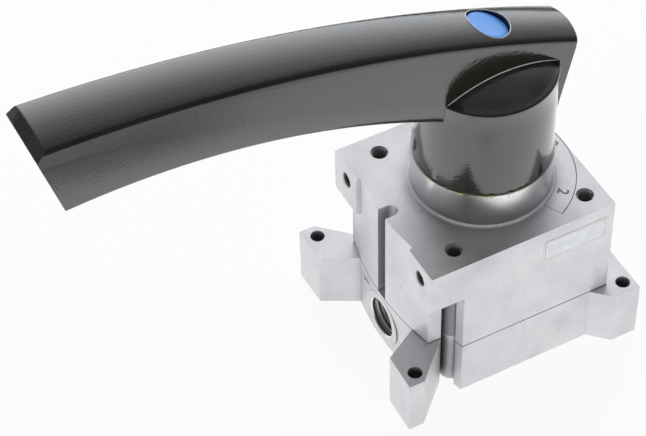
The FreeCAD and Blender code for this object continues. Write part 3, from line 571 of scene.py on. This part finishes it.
def shadeCut(shell, h):
    # the collar is turned, and the walls of the ports and screw holes are painted darker than the casting as
    # deep shade; the notch walls under the ears and a band on the top's outer edge get a lighter painted
    # shade
    cover = shell.name.startswith("upper")
    coat(shell, "coverAlloy" if cover else "castAlloy", "turnedAlloy", "paintedDeepShade", "paintedSoftShade")
    for face in shell.data.polygons:
        x, y, z = (value / mm for value in face.center)
        across = math.hypot(x, y)
        if z > h["collarLow"] and within(across, h["collarBand"]):
            face.material_index = 1
        inSupply = math.hypot(y, z - h["portHeight"]) < h["portReach"]
        inPort = any(math.hypot(y - middle, z - h["portHeight"]) < h["portReach"]
                     for middle in (-h["portPitch"], 0, h["portPitch"]))
        inTop = math.hypot(abs(x) - h["holePitch"], abs(y) - h["holePitch"]) < h["holeReach"]
        inSide = math.hypot(abs(y) - h["holePitch"], z - h["sideHoleHeight"]) < h["holeReach"]
        # painted deep shade on the walls of ports and screw holes
        if (inSupply and within(x, h["supplyBand"]) or inPort and within(x, h["portBand"])
                or inTop and within(z, h["topBand"]) or inSide and within(x, h["sideBand"])):
            face.material_index = 2
        # painted shade on the notch walls under the ear
        place, reach, low, high = h["notchBoss"]
        if cover and low < z < high and x < 0 and math.hypot(x + place, abs(y) - place) < reach:
            face.material_index = 3 if x < -place or abs(y) > place else 0
        # a painted dark line of shade along the top's outer edge
        steep = within(face.normal.z, h["edgeSlope"])
        if within(z, h["edgeBand"]) and steep and across > h["edgeOutside"]:
            face.material_index = 3


notchForm = {
    "centre": 22.0, "radius": 4.25, "bossCentre": 20.5, "bossRadius": 4.1, "low": -1.0, "high": 42.3,
    "earBand": (42.2, 43.9), "earDrop": 1.1, "earRight": -22.1,
}


def deepenNotch(shell, n):
    # the notch beside each screw boss runs in behind the corner
    low, high = n["low"], n["high"]
    for side in (-1, 1):
        bite = roundBar("bite", n["radius"], low, high, 64, moved(-n["centre"], n["centre"] * side, 0))
        boss = roundBar("boss", n["bossRadius"], low - 1, high + 1, 64,
                        moved(-n["bossCentre"], n["bossCentre"] * side, 0))
        combine(bite, boss, "DIFFERENCE")
        combine(shell, bite, "DIFFERENCE")


def dressShell(nodeName, edges):
    mesh = frame["nodes"][nodeName].data.copy()
    mesh.name = nodeName + "_cast"
    shell = addObject(nodeName + "_cast", mesh)
    work = bmesh.new()
    work.from_mesh(mesh)
    bmesh.ops.remove_doubles(work, verts=work.verts, dist=0.002 * mm)
    bmesh.ops.dissolve_limit(work, angle_limit=math.radians(1.0), verts=work.verts, edges=work.edges)
    bmesh.ops.recalc_face_normals(work, faces=work.faces)
    low, high = notchForm["earBand"]
    for vertex in work.verts:
        if low < vertex.co.z / mm < high and vertex.co.x / mm < notchForm["earRight"]:
            vertex.co.z -= notchForm["earDrop"] * mm
    work.to_mesh(mesh)
    work.free()
    deepenNotch(shell, notchForm)
    addModifier(shell, "edges", "BEVEL", width=edges["width"] * mm, segments=edges["segments"],
                limit_method="ANGLE", angle_limit=math.radians(edges["angle"]))
    shell.data.shade_smooth()
    addModifier(shell, "normals", "WEIGHTED_NORMAL", weight=edges["even"], keep_sharp=True)
    applyModifiers(shell)
    shadeCut(shell, housingPlaces)
    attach(shell, "housing")
    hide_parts(nodeName)


for shellNode in ("lower_housing", "upper_housing"):
    dressShell(shellNode, castEdges)
print("housings dressed")


# the lever: an arm of changing section that arches over a round, domed hub
leverForm = {
    "skirtRadius": 20.6, "skirtBore": 18.0, "skirtLow": 69.5, "skirtChamfer": 0.25, "hubFloor": 72.6,
    "rimHeight": 101.0, "domeRise": 5.3, "rimRound": 0.7,
    "headHalf": 9.1, "endHalf": 10.4, "topInset": 0.55, "bottomInset": 0.35,
    "crown": 1.7, "edgeRadius": 2.0, "edgeDrop": 1.4,
    # the arm's three arcs: a point (x, height), the slope there and the radius
    "top": (0.0, 115.77, 20.1, 421.0),
    "crease": (-18.48, 101.0, 26.45, 370.6),
    "bottom": (-20.6, 94.3, 28.6, 200.7),
    "armEnd": 135.6, "endLow": 130.0, "bevelLength": 2.9, "bevelHeight": 2.4, "bevelFollow": 1.1,
    "endSoft": 0.55, "endAngle": 24,
    "noseRadius": 26.3, "noseHeight": 109.6, "noseRoot": 81.2, "noseBulge": 150.0, "noseLow": 75.5,
    "wall": 2.6, "roof": 3.2, "ribs": (-0.32, -0.5, -0.68, -0.83), "ribThickness": 2.0, "ribSetback": 5.0,
    "channelEnd": 0.93, "channelSteps": 24,
    "coreInner": 8.6, "coreOuter": 17.0, "coreTop": 92.0, "coreAngle": 54.3,
    "ballTrack": 13.5, "ballBore": 3.08, "ballBoreTop": 88.0,
    "neckRadius": 4.03, "neckFlat": 3.33, "wellRadius": 5.6, "wellFloor": 98.6, "wellTop": 112.0,
    "recessRadius": 6.45, "recessDepth": 2.45, "plugDepth": 7.0, "recessChamfer": 0.3,
    "underRound": (0.9, 3.2), "creaseSoft": 1.2,
    "rings": 120,
}


def arcHeight(x, arc):
    anchorX, anchorZ, slope, radius = arc
    slope = math.radians(slope)
    along = x - anchorX + math.sin(slope) * radius
    return anchorZ - math.cos(slope) * radius + math.sqrt(radius * radius - along * along)


def bulge(half, rise):
    # radius of the arc that rises this much over this half width
    return (half ** 2 + rise ** 2) / rise / 2


def armHalf(f, x):
    return f["headHalf"] - (f["endHalf"] - f["headHalf"]) / f["armEnd"] * x


def crownRise(f, top, y):
    # the crown's height over the edges of the arm's top
    radius = bulge(top, f["crown"])
    return math.sqrt(radius ** 2 - y ** 2) - math.sqrt(radius ** 2 - top ** 2)


def domeHeight(f, across):
    radius = bulge(f["skirtRadius"], f["domeRise"])
    return f["rimHeight"] + f["domeRise"] - radius + math.sqrt(radius ** 2 - across ** 2)


def arcCentre(start, end, radius):
    # on the left of the way from start to end
    chord = end - start
    left = Vector((-chord.y, chord.x)).normalized()
    return (start + end) / 2 + left * math.sqrt(max(radius ** 2 - chord.length_squared / 4, 0))


def arcPoints(start, end, radius, steps):
    start, end = Vector(start), Vector(end)
    centre = arcCentre(start, end, radius)
    first, last = start - centre, end - centre
    sweep = first.angle_signed(last)
    return [tuple(centre + Matrix.Rotation(-sweep * step / steps, 2) @ first) for step in range(steps + 1)]


# places in the section's list of points: the flank, the bevel's corner on it, and the crown
flankPoints = range(2, 18)
bevelPoint = 10
crownPoints = range(18, 24)


def armProfile(f, x):
    # right half of the arm's section at x, from the middle of the underside to the top of the crown
    half = armHalf(f, x)
    top, low = half - f["topInset"], half - f["bottomInset"]
    topZ, creaseZ = arcHeight(x, f["top"]), arcHeight(x, f["crease"])
    lowZ = max(arcHeight(x, f["bottom"]), f["noseLow"])
    share = min(max((x + f["armEnd"]) / (f["armEnd"] - f["skirtRadius"]), 0), 1)
    under = f["underRound"][0] + (f["underRound"][1] - f["underRound"][0]) * share ** 3
    points = [(0, lowZ), (low * 0.5, lowZ)]
    for step in range(5):
        angle = math.pi / 8 * step
        points.append((low - under + under * math.sin(angle), lowZ + under - under * math.cos(angle)))
    soft = min(f["creaseSoft"], (creaseZ - lowZ - under) * 0.3)
    slopeLow = (half - low) / max(creaseZ - lowZ, 1)
    slopeTop = (half - top) / (topZ - f["edgeDrop"] - creaseZ)
    bevelZ = topZ - f["bevelHeight"]
    points += [(half - slopeLow * soft, creaseZ - soft), (half - (slopeLow + slopeTop) * soft / 4, creaseZ),
               (half - slopeTop * soft, creaseZ + soft), (half - slopeTop * (bevelZ - creaseZ), bevelZ)]
    side = top - f["edgeDrop"]
    shoulder = topZ + crownRise(f, top, side)
    points += arcPoints((top, topZ - f["edgeDrop"]), (side, shoulder), f["edgeRadius"], 6)
    across = [side * (1 - step / 6) for step in range(1, 7)]
    return points + [(y, topZ + crownRise(f, top, y)) for y in across]


def noseReach(f, z):
    # radius of the round front end at a height
    if z >= f["noseHeight"]:
        return f["noseRadius"]
    if z <= f["noseRoot"]:
        return f["skirtRadius"] - 0.02 - (f["noseRoot"] - z) * 0.2
    start, end = Vector((f["noseRadius"], f["noseHeight"])), Vector((f["skirtRadius"], f["noseRoot"]))
    centre = arcCentre(end, start, f["noseBulge"])
    return centre.x + math.sqrt(f["noseBulge"] ** 2 - (z - centre.y) ** 2)


def endReach(f, y, z):
    # place of the far end: a bevel above that follows the crown, a face that leans in below
    topZ = arcHeight(-f["armEnd"], f["top"]) - f["bevelHeight"]
    top = f["endHalf"] - f["topInset"]
    if z > topZ:
        z = max(z - crownRise(f, top, min(y, top)) * f["bevelFollow"], topZ)
    if z > topZ:
        return -f["armEnd"] + (z - topZ) * f["bevelLength"] / f["bevelHeight"]
    lowZ = arcHeight(-f["endLow"], f["bottom"])
    return -f["armEnd"] + (topZ - z) * (f["armEnd"] - f["endLow"]) / (topZ - lowZ)


def makeArm(f):
    count = crownPoints.stop
    starts, ends = [], []
    for k in range(count):
        nose, end = f["noseRadius"], -f["armEnd"]
        for _ in range(12):
            y, z = armProfile(f, nose)[k]
            nose = math.sqrt(noseReach(f, z) ** 2 - y * y)
            end = endReach(f, *armProfile(f, end)[k])
        starts.append(nose)
        ends.append(end)
    work = bmesh.new()
    rings = []
    for ring in range(f["rings"] + 1):
        # the left side's points have keys below zero; the two points in the middle are shared
        row = {}
        for k in range(count):
            x = starts[k] + (ends[k] - starts[k]) * ring / f["rings"]
            y, z = armProfile(f, x)[k]
            row[k] = work.verts.new((x, -y, z))
            row[-k - 1] = row[k] if y < 1e-6 else work.verts.new((x, y, z))
        rings.append(row)
    order = list(range(count)) + [-k - 1 for k in reversed(range(count))]
    joinRings(work, [[row[k] for k in order] for row in rings])
    closeEnd(work, rings[-1])
    closeNose(work, f, rings[0])
    bmesh.ops.recalc_face_normals(work, faces=work.faces)
    work.normal_update()
    sharp = [edge for edge in work.edges if edge.verts[0].co.z > f["rimHeight"] - 4 and edge.is_manifold
             and edge.calc_face_angle() > math.radians(f["endAngle"])]
    bmesh.ops.bevel(work, geom=sharp, offset=f["endSoft"], segments=3, affect="EDGES", clamp_overlap=True)
    return keepMesh("lever_arm", work)


def closeEnd(work, last):
    # far end: a lower face that leans in and a bevel above, parted at the flank's bevel corner
    above = range(bevelPoint, crownPoints.stop)
    rim = [last[k] for k in above] + [last[-k - 1] for k in reversed(above[:-1])]
    x, z = rim[0].co.x, rim[0].co.z
    foot = [rim[0]] + [work.verts.new((x, vert.co.y, z)) for vert in rim[1:-1]] + [rim[-1]]
    joinRings(work, [rim, foot], False)
    below = range(bevelPoint)
    work.faces.new([last[k] for k in below] + foot + [last[-k - 1] for k in reversed(below[1:])])


def closeNose(work, f, first):
    # rows of points across the round front, spread as the crown's are
    crown = [first[k] for k in crownPoints] + [first[-k - 1] for k in reversed(crownPoints[:-1])]
    widest = abs(first[flankPoints[-1]].co.y)
    rows = []
    for k in flankPoints[:-1]:
        left, right = first[k], first[-k - 1]
        row = [left]
        for vert in crown:
            y = vert.co.y / widest * abs(left.co.y)
            row.append(work.verts.new((math.sqrt(noseReach(f, left.co.z) ** 2 - y * y), y, left.co.z)))
        rows.append(row + [right])
    rows.append([first[flankPoints[-1]]] + crown + [first[-flankPoints[-1] - 1]])
    joinRings(work, rows, False)
    work.faces.new(rows[0] + [first[-2], first[0], first[1]])


def makeHub(f):
    skirt, low, rimRound = f["skirtRadius"], f["skirtLow"], f["rimRound"]
    edge = skirt - rimRound
    outline = [(0, f["hubFloor"]), (f["skirtBore"], f["hubFloor"]), (f["skirtBore"], low),
               (skirt - f["skirtChamfer"], low), (skirt, low + f["skirtChamfer"])]
    outline += [(skirt, low + 6 * step) for step in range(1, 5)]
    rim = (skirt, f["rimHeight"] - rimRound)
    outline += arcPoints(rim, (edge, domeHeight(f, edge)), rimRound * 1.05, 5)
    dome = [edge * (1 - step / 12) for step in range(1, 13)]
    outline += [(across, domeHeight(f, across)) for across in dome]
    return spunSolid("lever_hub", outline, 144)


def makeChannel(f):
    # the arm is open below: a trough that follows its curves
    work = bmesh.new()
    rings = []
    far = f["armEnd"] * f["channelEnd"]
    for step in range(f["channelSteps"] + 1):
        x = -far + (far - f["skirtRadius"] - f["wall"]) * step / f["channelSteps"]
        half = armHalf(f, x) - f["bottomInset"] - f["wall"]
        low, high = arcHeight(x, f["bottom"]) - 4, arcHeight(x, f["top"]) - f["roof"]
        rings.append([work.verts.new((x, y, z)) for y, z in
                      ((-half, low), (half, low), (half, high), (-half, high))])
    joinRings(work, rings)
    work.faces.new(rings[0])
    work.faces.new(rings[-1])
    return keepMesh("channel", work)


def makeRib(f, share):
    x = f["armEnd"] * share
    half = armHalf(f, x) - f["bottomInset"] - f["wall"] / 2
    low, high = arcHeight(x, f["bottom"]) + f["ribSetback"], arcHeight(x, f["top"]) - f["roof"] / 2
    return boxSolid("rib", (x, -half, low), (x + f["ribThickness"], half, high))


def sweepAngles(half, steps):
    return [math.radians(-half + 2 * half * step / steps) for step in range(steps + 1)]


def makeLever(f):
    lever = makeArm(f)
    combine(lever, makeHub(f), "UNION")
    combine(lever, makeChannel(f), "DIFFERENCE")
    for share in f["ribs"]:
        combine(lever, makeRib(f, share), "UNION")
    below = f["hubFloor"] - 0.5
    for side in (1, -1):
        angles = sweepAngles(f["coreAngle"], 24)
        sector = [polar(f["coreOuter"], a) for a in angles]
        sector += [polar(f["coreInner"], a) for a in reversed(angles)]
        core = prismSolid("core", [(side * x, y) for x, y in sector], below, f["coreTop"])
        combine(lever, core, "DIFFERENCE")
        place = moved(0, f["ballTrack"] * side, 0)
        combine(lever, roundBar("bore", f["ballBore"], below, f["ballBoreTop"], 32, place), "DIFFERENCE")
    half = math.degrees(math.asin(f["neckFlat"] / f["neckRadius"]))
    right = [polar(f["neckRadius"], a) for a in sweepAngles(half, 8)]
    socket = right + [(-x, -y) for x, y in right]
    combine(lever, prismSolid("socket", socket, below, f["wellFloor"] + 1), "DIFFERENCE")
    combine(lever, makeWell(f), "DIFFERENCE")
    return lever


def crownTurn(f):
    # from the crown's top over the spindle, tilted as the arm's top is there
    return moved(0, 0, f["top"][1] + f["crown"]) @ turned(f["top"][2], "Y")


def makeWell(f):
    # above the crown the recess runs on as a cone, so that its edge is broken
    well = roundBar("well", f["wellRadius"], f["wellFloor"], f["wellTop"], 64)
    depth, rim, chamfer = f["recessDepth"], f["recessRadius"], f["recessChamfer"]
    tilted = [(0, -f["plugDepth"]), (f["wellRadius"], -f["plugDepth"]), (f["wellRadius"], -depth),
              (rim, -depth), (rim, -chamfer - 0.05), (rim + chamfer + 2, 2.0), (0, 2.0)]
    combine(well, spunSolid("recess", tilted, 96, crownTurn(f)), "UNION")
    return well


def finishPiece(piece, body, slot, smoothAngle, replaced):
    work = bmesh.new()
    work.from_mesh(piece.data)
    bmesh.ops.remove_doubles(work, verts=work.verts, dist=0.0005 * mm)
    bmesh.ops.dissolve_degenerate(work, edges=work.edges, dist=0.0005 * mm)
    work.to_mesh(piece.data)
    work.free()
    coat(piece, slotFinishes[slot])
    piece.data.shade_smooth()
    piece.data.set_sharp_from_angle(angle=math.radians(smoothAngle))
    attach(piece, body)
    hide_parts(*replaced)


capForm = {"top": 1.3, "thickness": 1.0, "radius": 6.2, "edge": 0.12, "plug": 5.3, "plugWall": 1.0,
           "plugLength": 3.0, "dish": 0.12, "ringRadius": 6.56, "ringWire": 0.18, "ringDrop": 0.04,
           "steps": 96}


def makeCap(c, f):
    top, low = -c["top"], -c["top"] - c["thickness"]
    radius, edge, inner = c["radius"], c["edge"], c["plug"] - c["plugWall"]
    outline = [(0, top - c["dish"]), (radius * 0.7, top - c["dish"] * 0.6), (radius - edge * 2, top),
               (radius, top - edge), (radius, low), (c["plug"], low), (c["plug"], low - c["plugLength"]),
               (inner, low - c["plugLength"]), (inner, low), (0, low)]
    return spunSolid("cap_blue", outline, c["steps"], crownTurn(f))


def makeCapRing(c, f):
    # a painted highlight: a bright line round the cap's seat, which follows the crown
    points = []
    for step in range(c["steps"]):
        x, y = polar(c["ringRadius"], math.tau * step / c["steps"])
        fall = f["crown"] - crownRise(f, f["headHalf"] - f["topInset"], y)
        points.append(crownTurn(f) @ Vector((x, y, -fall - c["ringDrop"])))
    ring = tubeAlong("cap_seat_highlight", points, [c["ringWire"]] * c["steps"], closed=True)
    coat(ring, "paintedSeatHighlight")
    return ring


ridgeForm = {"half": 18.3, "steps": 60, "wire": 0.14, "taper": 0.6, "sunk": 0.03}


def makeRidge(g, f):
    # the coat runs together into a fine bead where the arm's flanks meet the dome; the bead is coloured light
    # as a painted highlight
    beads = []
    for side in (1, -1):
        points, radii = [], []
        for step in range(g["steps"] + 1):
            x = -g["half"] + 2 * g["half"] * step / g["steps"]
            half = armHalf(f, x)
            creaseZ, topZ = arcHeight(x, f["crease"]), arcHeight(x, f["top"])
            y = half
            for _ in range(4):
                z = domeHeight(f, math.hypot(x, y))
                y = half - f["topInset"] / (topZ - f["edgeDrop"] - creaseZ) * (z - creaseZ)
            points.append((x, side * (y + g["sunk"]), z + g["sunk"]))
            radii.append(g["wire"] * (1 - g["taper"] * (abs(x) / g["half"]) ** 4))
        bead = tubeAlong("bead", points, radii)
        coat(bead, "paintedRidgeHighlight")
        beads.append(bead)
    return joinPieces("lever_ridge", beads)


leverPiece = makeLever(leverForm)
leverPiece.name = "lever_cast"
finishPiece(leverPiece, "lever", "lever_coat", 30, ("lever",))
print("lever made:", len(leverPiece.data.polygons), "faces")
finishPiece(makeCap(capForm, leverForm), "lever", "cap_plastic", 40, ("cap_disc",))
for piece in (makeCapRing(capForm, leverForm), makeRidge(ridgeForm, leverForm)):
    piece.data.shade_smooth()
    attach(piece, "lever")
print("cap set")


# threads: a ridge that winds down each tapped hole, made once and set at every mouth
screwThread = {"radius": 2.35, "pitch": 0.8, "ridge": 0.34, "start": 0.55, "finish": "threadAlloy"}
pipeThread = {"radius": 6.3, "pitch": 1.337, "ridge": 0.62, "start": 1.7, "finish": "threadAlloy", "turns": 7}
threadKinds = {
    "mount_threads": {
        **screwThread, "turns": 12, "tilt": 0, "places": [(x, y, 56.6) for x in (-22, 22) for y in (-22, 22)],
    },
    "side_threads": {
        **screwThread, "turns": 7, "tilt": -90, "places": [(-33.2, y, 50.4) for y in (-22, 22)],
        # the side holes' threads are painted dark as shade
        "finish": "paintedDeepShade",
    },
    "supply_thread": {**pipeThread, "tilt": -90, "places": [(-33.4, 0, 9.9)]},
    "side_port_threads": {**pipeThread, "tilt": 90, "places": [(36.4, y, 9.9) for y in (-19, 0, 19)]},
}


def newTree(name, *sizes):
    # every tree takes points, its own sizes, a turn for its copies and a finish
    tree = bpy.data.node_groups.new(name, "GeometryNodeTree")
    tree.interface.new_socket("Geometry", in_out="INPUT", socket_type="NodeSocketGeometry")
    tree.interface.new_socket("Geometry", in_out="OUTPUT", socket_type="NodeSocketGeometry")
    kinds = {**{size: "Float" for size in sizes}, "Turn": "Rotation", "Finish": "Material"}
    sockets = {}
    for label, kind in kinds.items():
        socket = tree.interface.new_socket(label, in_out="INPUT", socket_type="NodeSocket" + kind)
        sockets[label] = socket.identifier
    return tree, addNode(tree, "NodeGroupInput").outputs, sockets


def sweepOn(tree, curve, section):
    inputs = {"Curve": curve.outputs["Curve"], "Profile Curve": section.outputs["Curve"], "Fill Caps": True}
    return addNode(tree, "GeometryNodeCurveToMesh", inputs).outputs[0]


def endTree(tree, given, solid):
    # one copy on each point, made real
    copies = addNode(tree, "GeometryNodeInstanceOnPoints", {
        "Points": given["Geometry"], "Instance": solid, "Rotation": given["Turn"]})
    real = addNode(tree, "GeometryNodeRealizeInstances", {"Geometry": copies.outputs[0]})
    finish = addNode(tree, "GeometryNodeSetMaterial", {
        "Geometry": real.outputs[0], "Material": given["Finish"]})
    addNode(tree, "NodeGroupOutput", {"Geometry": finish.outputs[0]})


def runTree(name, points, tree, sockets, values):
    # the points carry the copies; the result becomes a plain mesh
    mesh = bpy.data.meshes.new(name)
    mesh.from_pydata([Vector(point) * mm for point in points], [], [])
    thing = addObject(name, mesh)
    modifier = addModifier(thing, "make", "NODES", node_group=tree)
    for label, value in values.items():
        modifier[sockets[label]] = value
    applyModifiers(thing)
    return thing


def threadTree():
    tree, given, sockets = newTree("threadRidge", "Radius", "Pitch", "Turns", "Ridge", "Start")
    height = times(tree, given["Pitch"], given["Turns"])
    spiral = addNode(tree, "GeometryNodeCurveSpiral", {
        "Resolution": 40, "Rotations": given["Turns"], "Height": height,
        "Start Radius": given["Radius"], "End Radius": given["Radius"]})
    section = addNode(tree, "GeometryNodeCurvePrimitiveCircle", {"Resolution": 4, "Radius": given["Ridge"]})
    down = times(tree, mathOn(tree, "ADD", height, given["Start"]), -1.0)
    offset = addNode(tree, "ShaderNodeCombineXYZ", {"Z": down})
    shift = addNode(tree, "GeometryNodeTransform", {
        "Geometry": sweepOn(tree, spiral, section), "Translation": offset.outputs[0]})
    endTree(tree, given, shift.outputs["Geometry"])
    return tree, sockets


def addHousingPiece(piece):
    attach(piece, "housing")


ridgeTree, ridgeSockets = threadTree()
for threadName, kind in threadKinds.items():
    addHousingPiece(runTree(threadName, kind["places"], ridgeTree, ridgeSockets, {
        "Radius": kind["radius"] * mm, "Pitch": kind["pitch"] * mm, "Turns": float(kind["turns"]),
        "Ridge": kind["ridge"] * mm, "Start": kind["start"] * mm, "Finish": finishes[kind["finish"]],
        "Turn": (0.0, math.radians(kind["tilt"]), 0.0),
    }))
print("threads cut")


# port rim: a flat proud seat round the supply port's mouth, with a turned edge, and painted shade on its bore
# and round its foot
portRim = {"face": -33.42, "height": 9.9, "bore": 6.3, "edge": 0.28, "seat": 9.1, "soft": 0.12, "back": 1.3}


def makePortRim(p):
    bore, edge, seat, soft, back = p["bore"], p["edge"], p["seat"], p["soft"], -p["back"]
    outline = [(bore, back), (bore, -edge), (bore + edge, 0), (seat - soft, 0), (seat, -soft), (seat, back)]
    rim = spunSolid("port_rims", outline, 72, moved(p["face"], 0, p["height"]) @ turned(-90, "Y"))
    coat(rim, "castAlloy", "turnedAlloy", "paintedDeepShade")
    for face in rim.data.polygons:
        x, y, z = (value / mm for value in face.center)
        across = math.hypot(y, z - p["height"])
        if across < bore + edge and abs(x - p["face"]) < edge:
            face.material_index = 1
        # painted shade on the bore wall and round the foot
        elif across < bore + 0.05 or across > seat - 0.05:
            face.material_index = 2
    return rim


# the dial: two arcs with end marks, and three plain numbers that read from the middle
dial = {
    "height": 56.6, "outerArc": 27.9, "innerArc": 21.9, "halfSweep": 64.0,
    "outerLine": 0.26, "innerLine": 0.13, "raise": 0.02,
    "digitSize": 4.6, "digitRadius": 23.2, "digitSwell": 0.05,
    "digits": {"1": 45.0, "0": 0.0, "2": -46.0},
}


def arcTree():
    tree, given, sockets = newTree("dialArc", "Radius", "Half Sweep", "Line", "Thickness")
    arc = addNode(tree, "GeometryNodeCurveArc", {
        "Resolution": 96, "Radius": given["Radius"],
        "Start Angle": times(tree, given["Half Sweep"], -1.0),
        "Sweep Angle": times(tree, given["Half Sweep"], 2.0)})
    section = addNode(tree, "GeometryNodeCurvePrimitiveQuadrilateral", {
        "Width": given["Line"], "Height": given["Thickness"]})
    endTree(tree, given, sweepOn(tree, arc, section))
    return tree, sockets


def makeDigit(text, angle, d):
    curve = bpy.data.curves.new("digit", "FONT")
    curve.body = text
    curve.size = d["digitSize"] * mm
    curve.align_x = "CENTER"
    curve.extrude = d["raise"] * mm
    curve.offset = d["digitSwell"] * mm
    lettering = addObject("digit", curve)
    graph = bpy.context.evaluated_depsgraph_get()
    mesh = bpy.data.meshes.new_from_object(lettering.evaluated_get(graph))
    bpy.data.objects.remove(lettering)
    mesh.transform(turned(angle, "Z") @ moved(d["digitRadius"] * mm, 0, d["height"] * mm) @ turned(-90, "Z"))
    return addObject("digit", mesh)


def makeDial(d):
    tree, sockets = arcTree()
    parts = [runTree("dial_arc", [(0, 0, d["height"])], tree, sockets, {
        "Radius": d[side + "Arc"] * mm, "Half Sweep": math.radians(d["halfSweep"]),
        "Line": d[side + "Line"] * mm, "Thickness": d["raise"] * 2 * mm}) for side in ("outer", "inner")]
    for side in (-1, 1):
        mark = boxSolid("mark", (d["innerArc"], -d["innerLine"] / 2, d["height"] - d["raise"]),
                        (d["outerArc"], d["innerLine"] / 2, d["height"] + d["raise"]))
        mark.data.transform(turned(d["halfSweep"] * side, "Z"))
        parts.append(mark)
    parts += [makeDigit(text, angle, d) for text, angle in d["digits"].items()]
    for part in parts:
        coat(part, "dialInk")
    return joinPieces("dial_marks", parts)


addHousingPiece(makePortRim(portRim))
print("port rims set")
addHousingPiece(makeDial(dial))
print("dial marked")


# grease pressed out under the skirt: a thin uneven bead on the collar's rim with three runs
grease = {"radius": 20.95, "height": 69.22, "angles": (-172, -66), "steps": 160, "waves": (37, 11, 83),
          "wire": 0.17, "swell": 0.22, "lift": 0.03, "thinnest": 0.05, "wall": 21.12,
          "runs": [(-121.0, 2.6), (-117.5, 1.7), (-100.0, 1.5)], "runSteps": 8, "runWire": 0.13}


def makeGrease(g):
    start, end = g["angles"]
    long, slow, quick = g["waves"]
    points, radii = [], []
    for step in range(g["steps"] + 1):
        share = step / g["steps"]
        wave = math.sin(share * long) * math.sin(share * slow + 1) + 0.5 * math.sin(share * quick)
        points.append((*polar(g["radius"], math.radians(start + (end - start) * share)),
                       g["height"] + g["lift"] * wave))
        radii.append(max(g["wire"] + g["swell"] * wave * math.sin(math.pi * share), g["thinnest"]))
    parts = [tubeAlong("bead", points, radii)]
    for turn, length in g["runs"]:
        run = [(*polar(g["wall"], math.radians(turn + 0.5 * math.sin(step * 0.9))),
                g["height"] - length * step / g["runSteps"]) for step in range(g["runSteps"] + 1)]
        thick = [g["runWire"] * (1 - step / 10) for step in range(g["runSteps"] + 1)]
        parts.append(tubeAlong("run", run, thick))
    for part in parts:
        coat(part, "greaseYellow")
        part.data.shade_smooth()
    return joinPieces("grease_bead", parts)


addHousingPiece(makeGrease(grease))

# fine scribed lines left from marking out, and a nick in the base beside the port
scribeForm = {
    "lines": [((-18.7, -5.5, 56.6), (-24.3, -4.1, 56.6)), ((-33.12, -5.6, 36.9), (-32.72, -11.2, 34.6))],
    "wire": 0.05,
    "nick": [(-33.38, 11.1, 18.3), (-33.38, 10.2, 17.3), (-33.38, 9.5, 17.7), (-33.38, 7.4, 17.2)],
    "nickWires": (0.06, 0.22, 0.16, 0.05),
}


def makeScribes(s):
    parts = [tubeAlong("scribe", line, (s["wire"], s["wire"])) for line in s["lines"]]
    parts.append(tubeAlong("nick", s["nick"], s["nickWires"]))
    for part in parts:
        coat(part, "scribeInk")
    return joinPieces("scribed_lines", parts)


addHousingPiece(makeScribes(scribeForm))
print("grease and lines set")


# bare label plate on the side that faces the camera, with a thin printed border
label = {"x": (4.2, 25.6), "z": (43.7, 52.1), "face": -29.0, "thickness": 0.12, "sunk": 0.05,
         "border": 0.5, "line": 0.14, "lineBack": 0.02, "lineFront": 0.015}


def makeLabel(p):
    front = p["face"] - p["thickness"]
    (left, right), (low, high) = p["x"], p["z"]
    plate = boxSolid("plate", (left, front, low), (right, p["face"] + p["sunk"], high))
    coat(plate, "labelFoil")
    parts = [plate]
    wide, border = p["line"], p["border"]
    left, right, low, high = left + border, right - border, low + border, high - border
    for x0, z0, x1, z1 in ((left, low, right, low + wide), (left, high - wide, right, high),
                           (left, low, left + wide, high), (right - wide, low, right, high)):
        bar = boxSolid("bar", (x0, front - p["lineFront"], z0), (x1, front + p["lineBack"], z1))
        coat(bar, "labelLine")
        parts.append(bar)
    return joinPieces("label_plate", parts)


addHousingPiece(makeLabel(label))
print("label set")
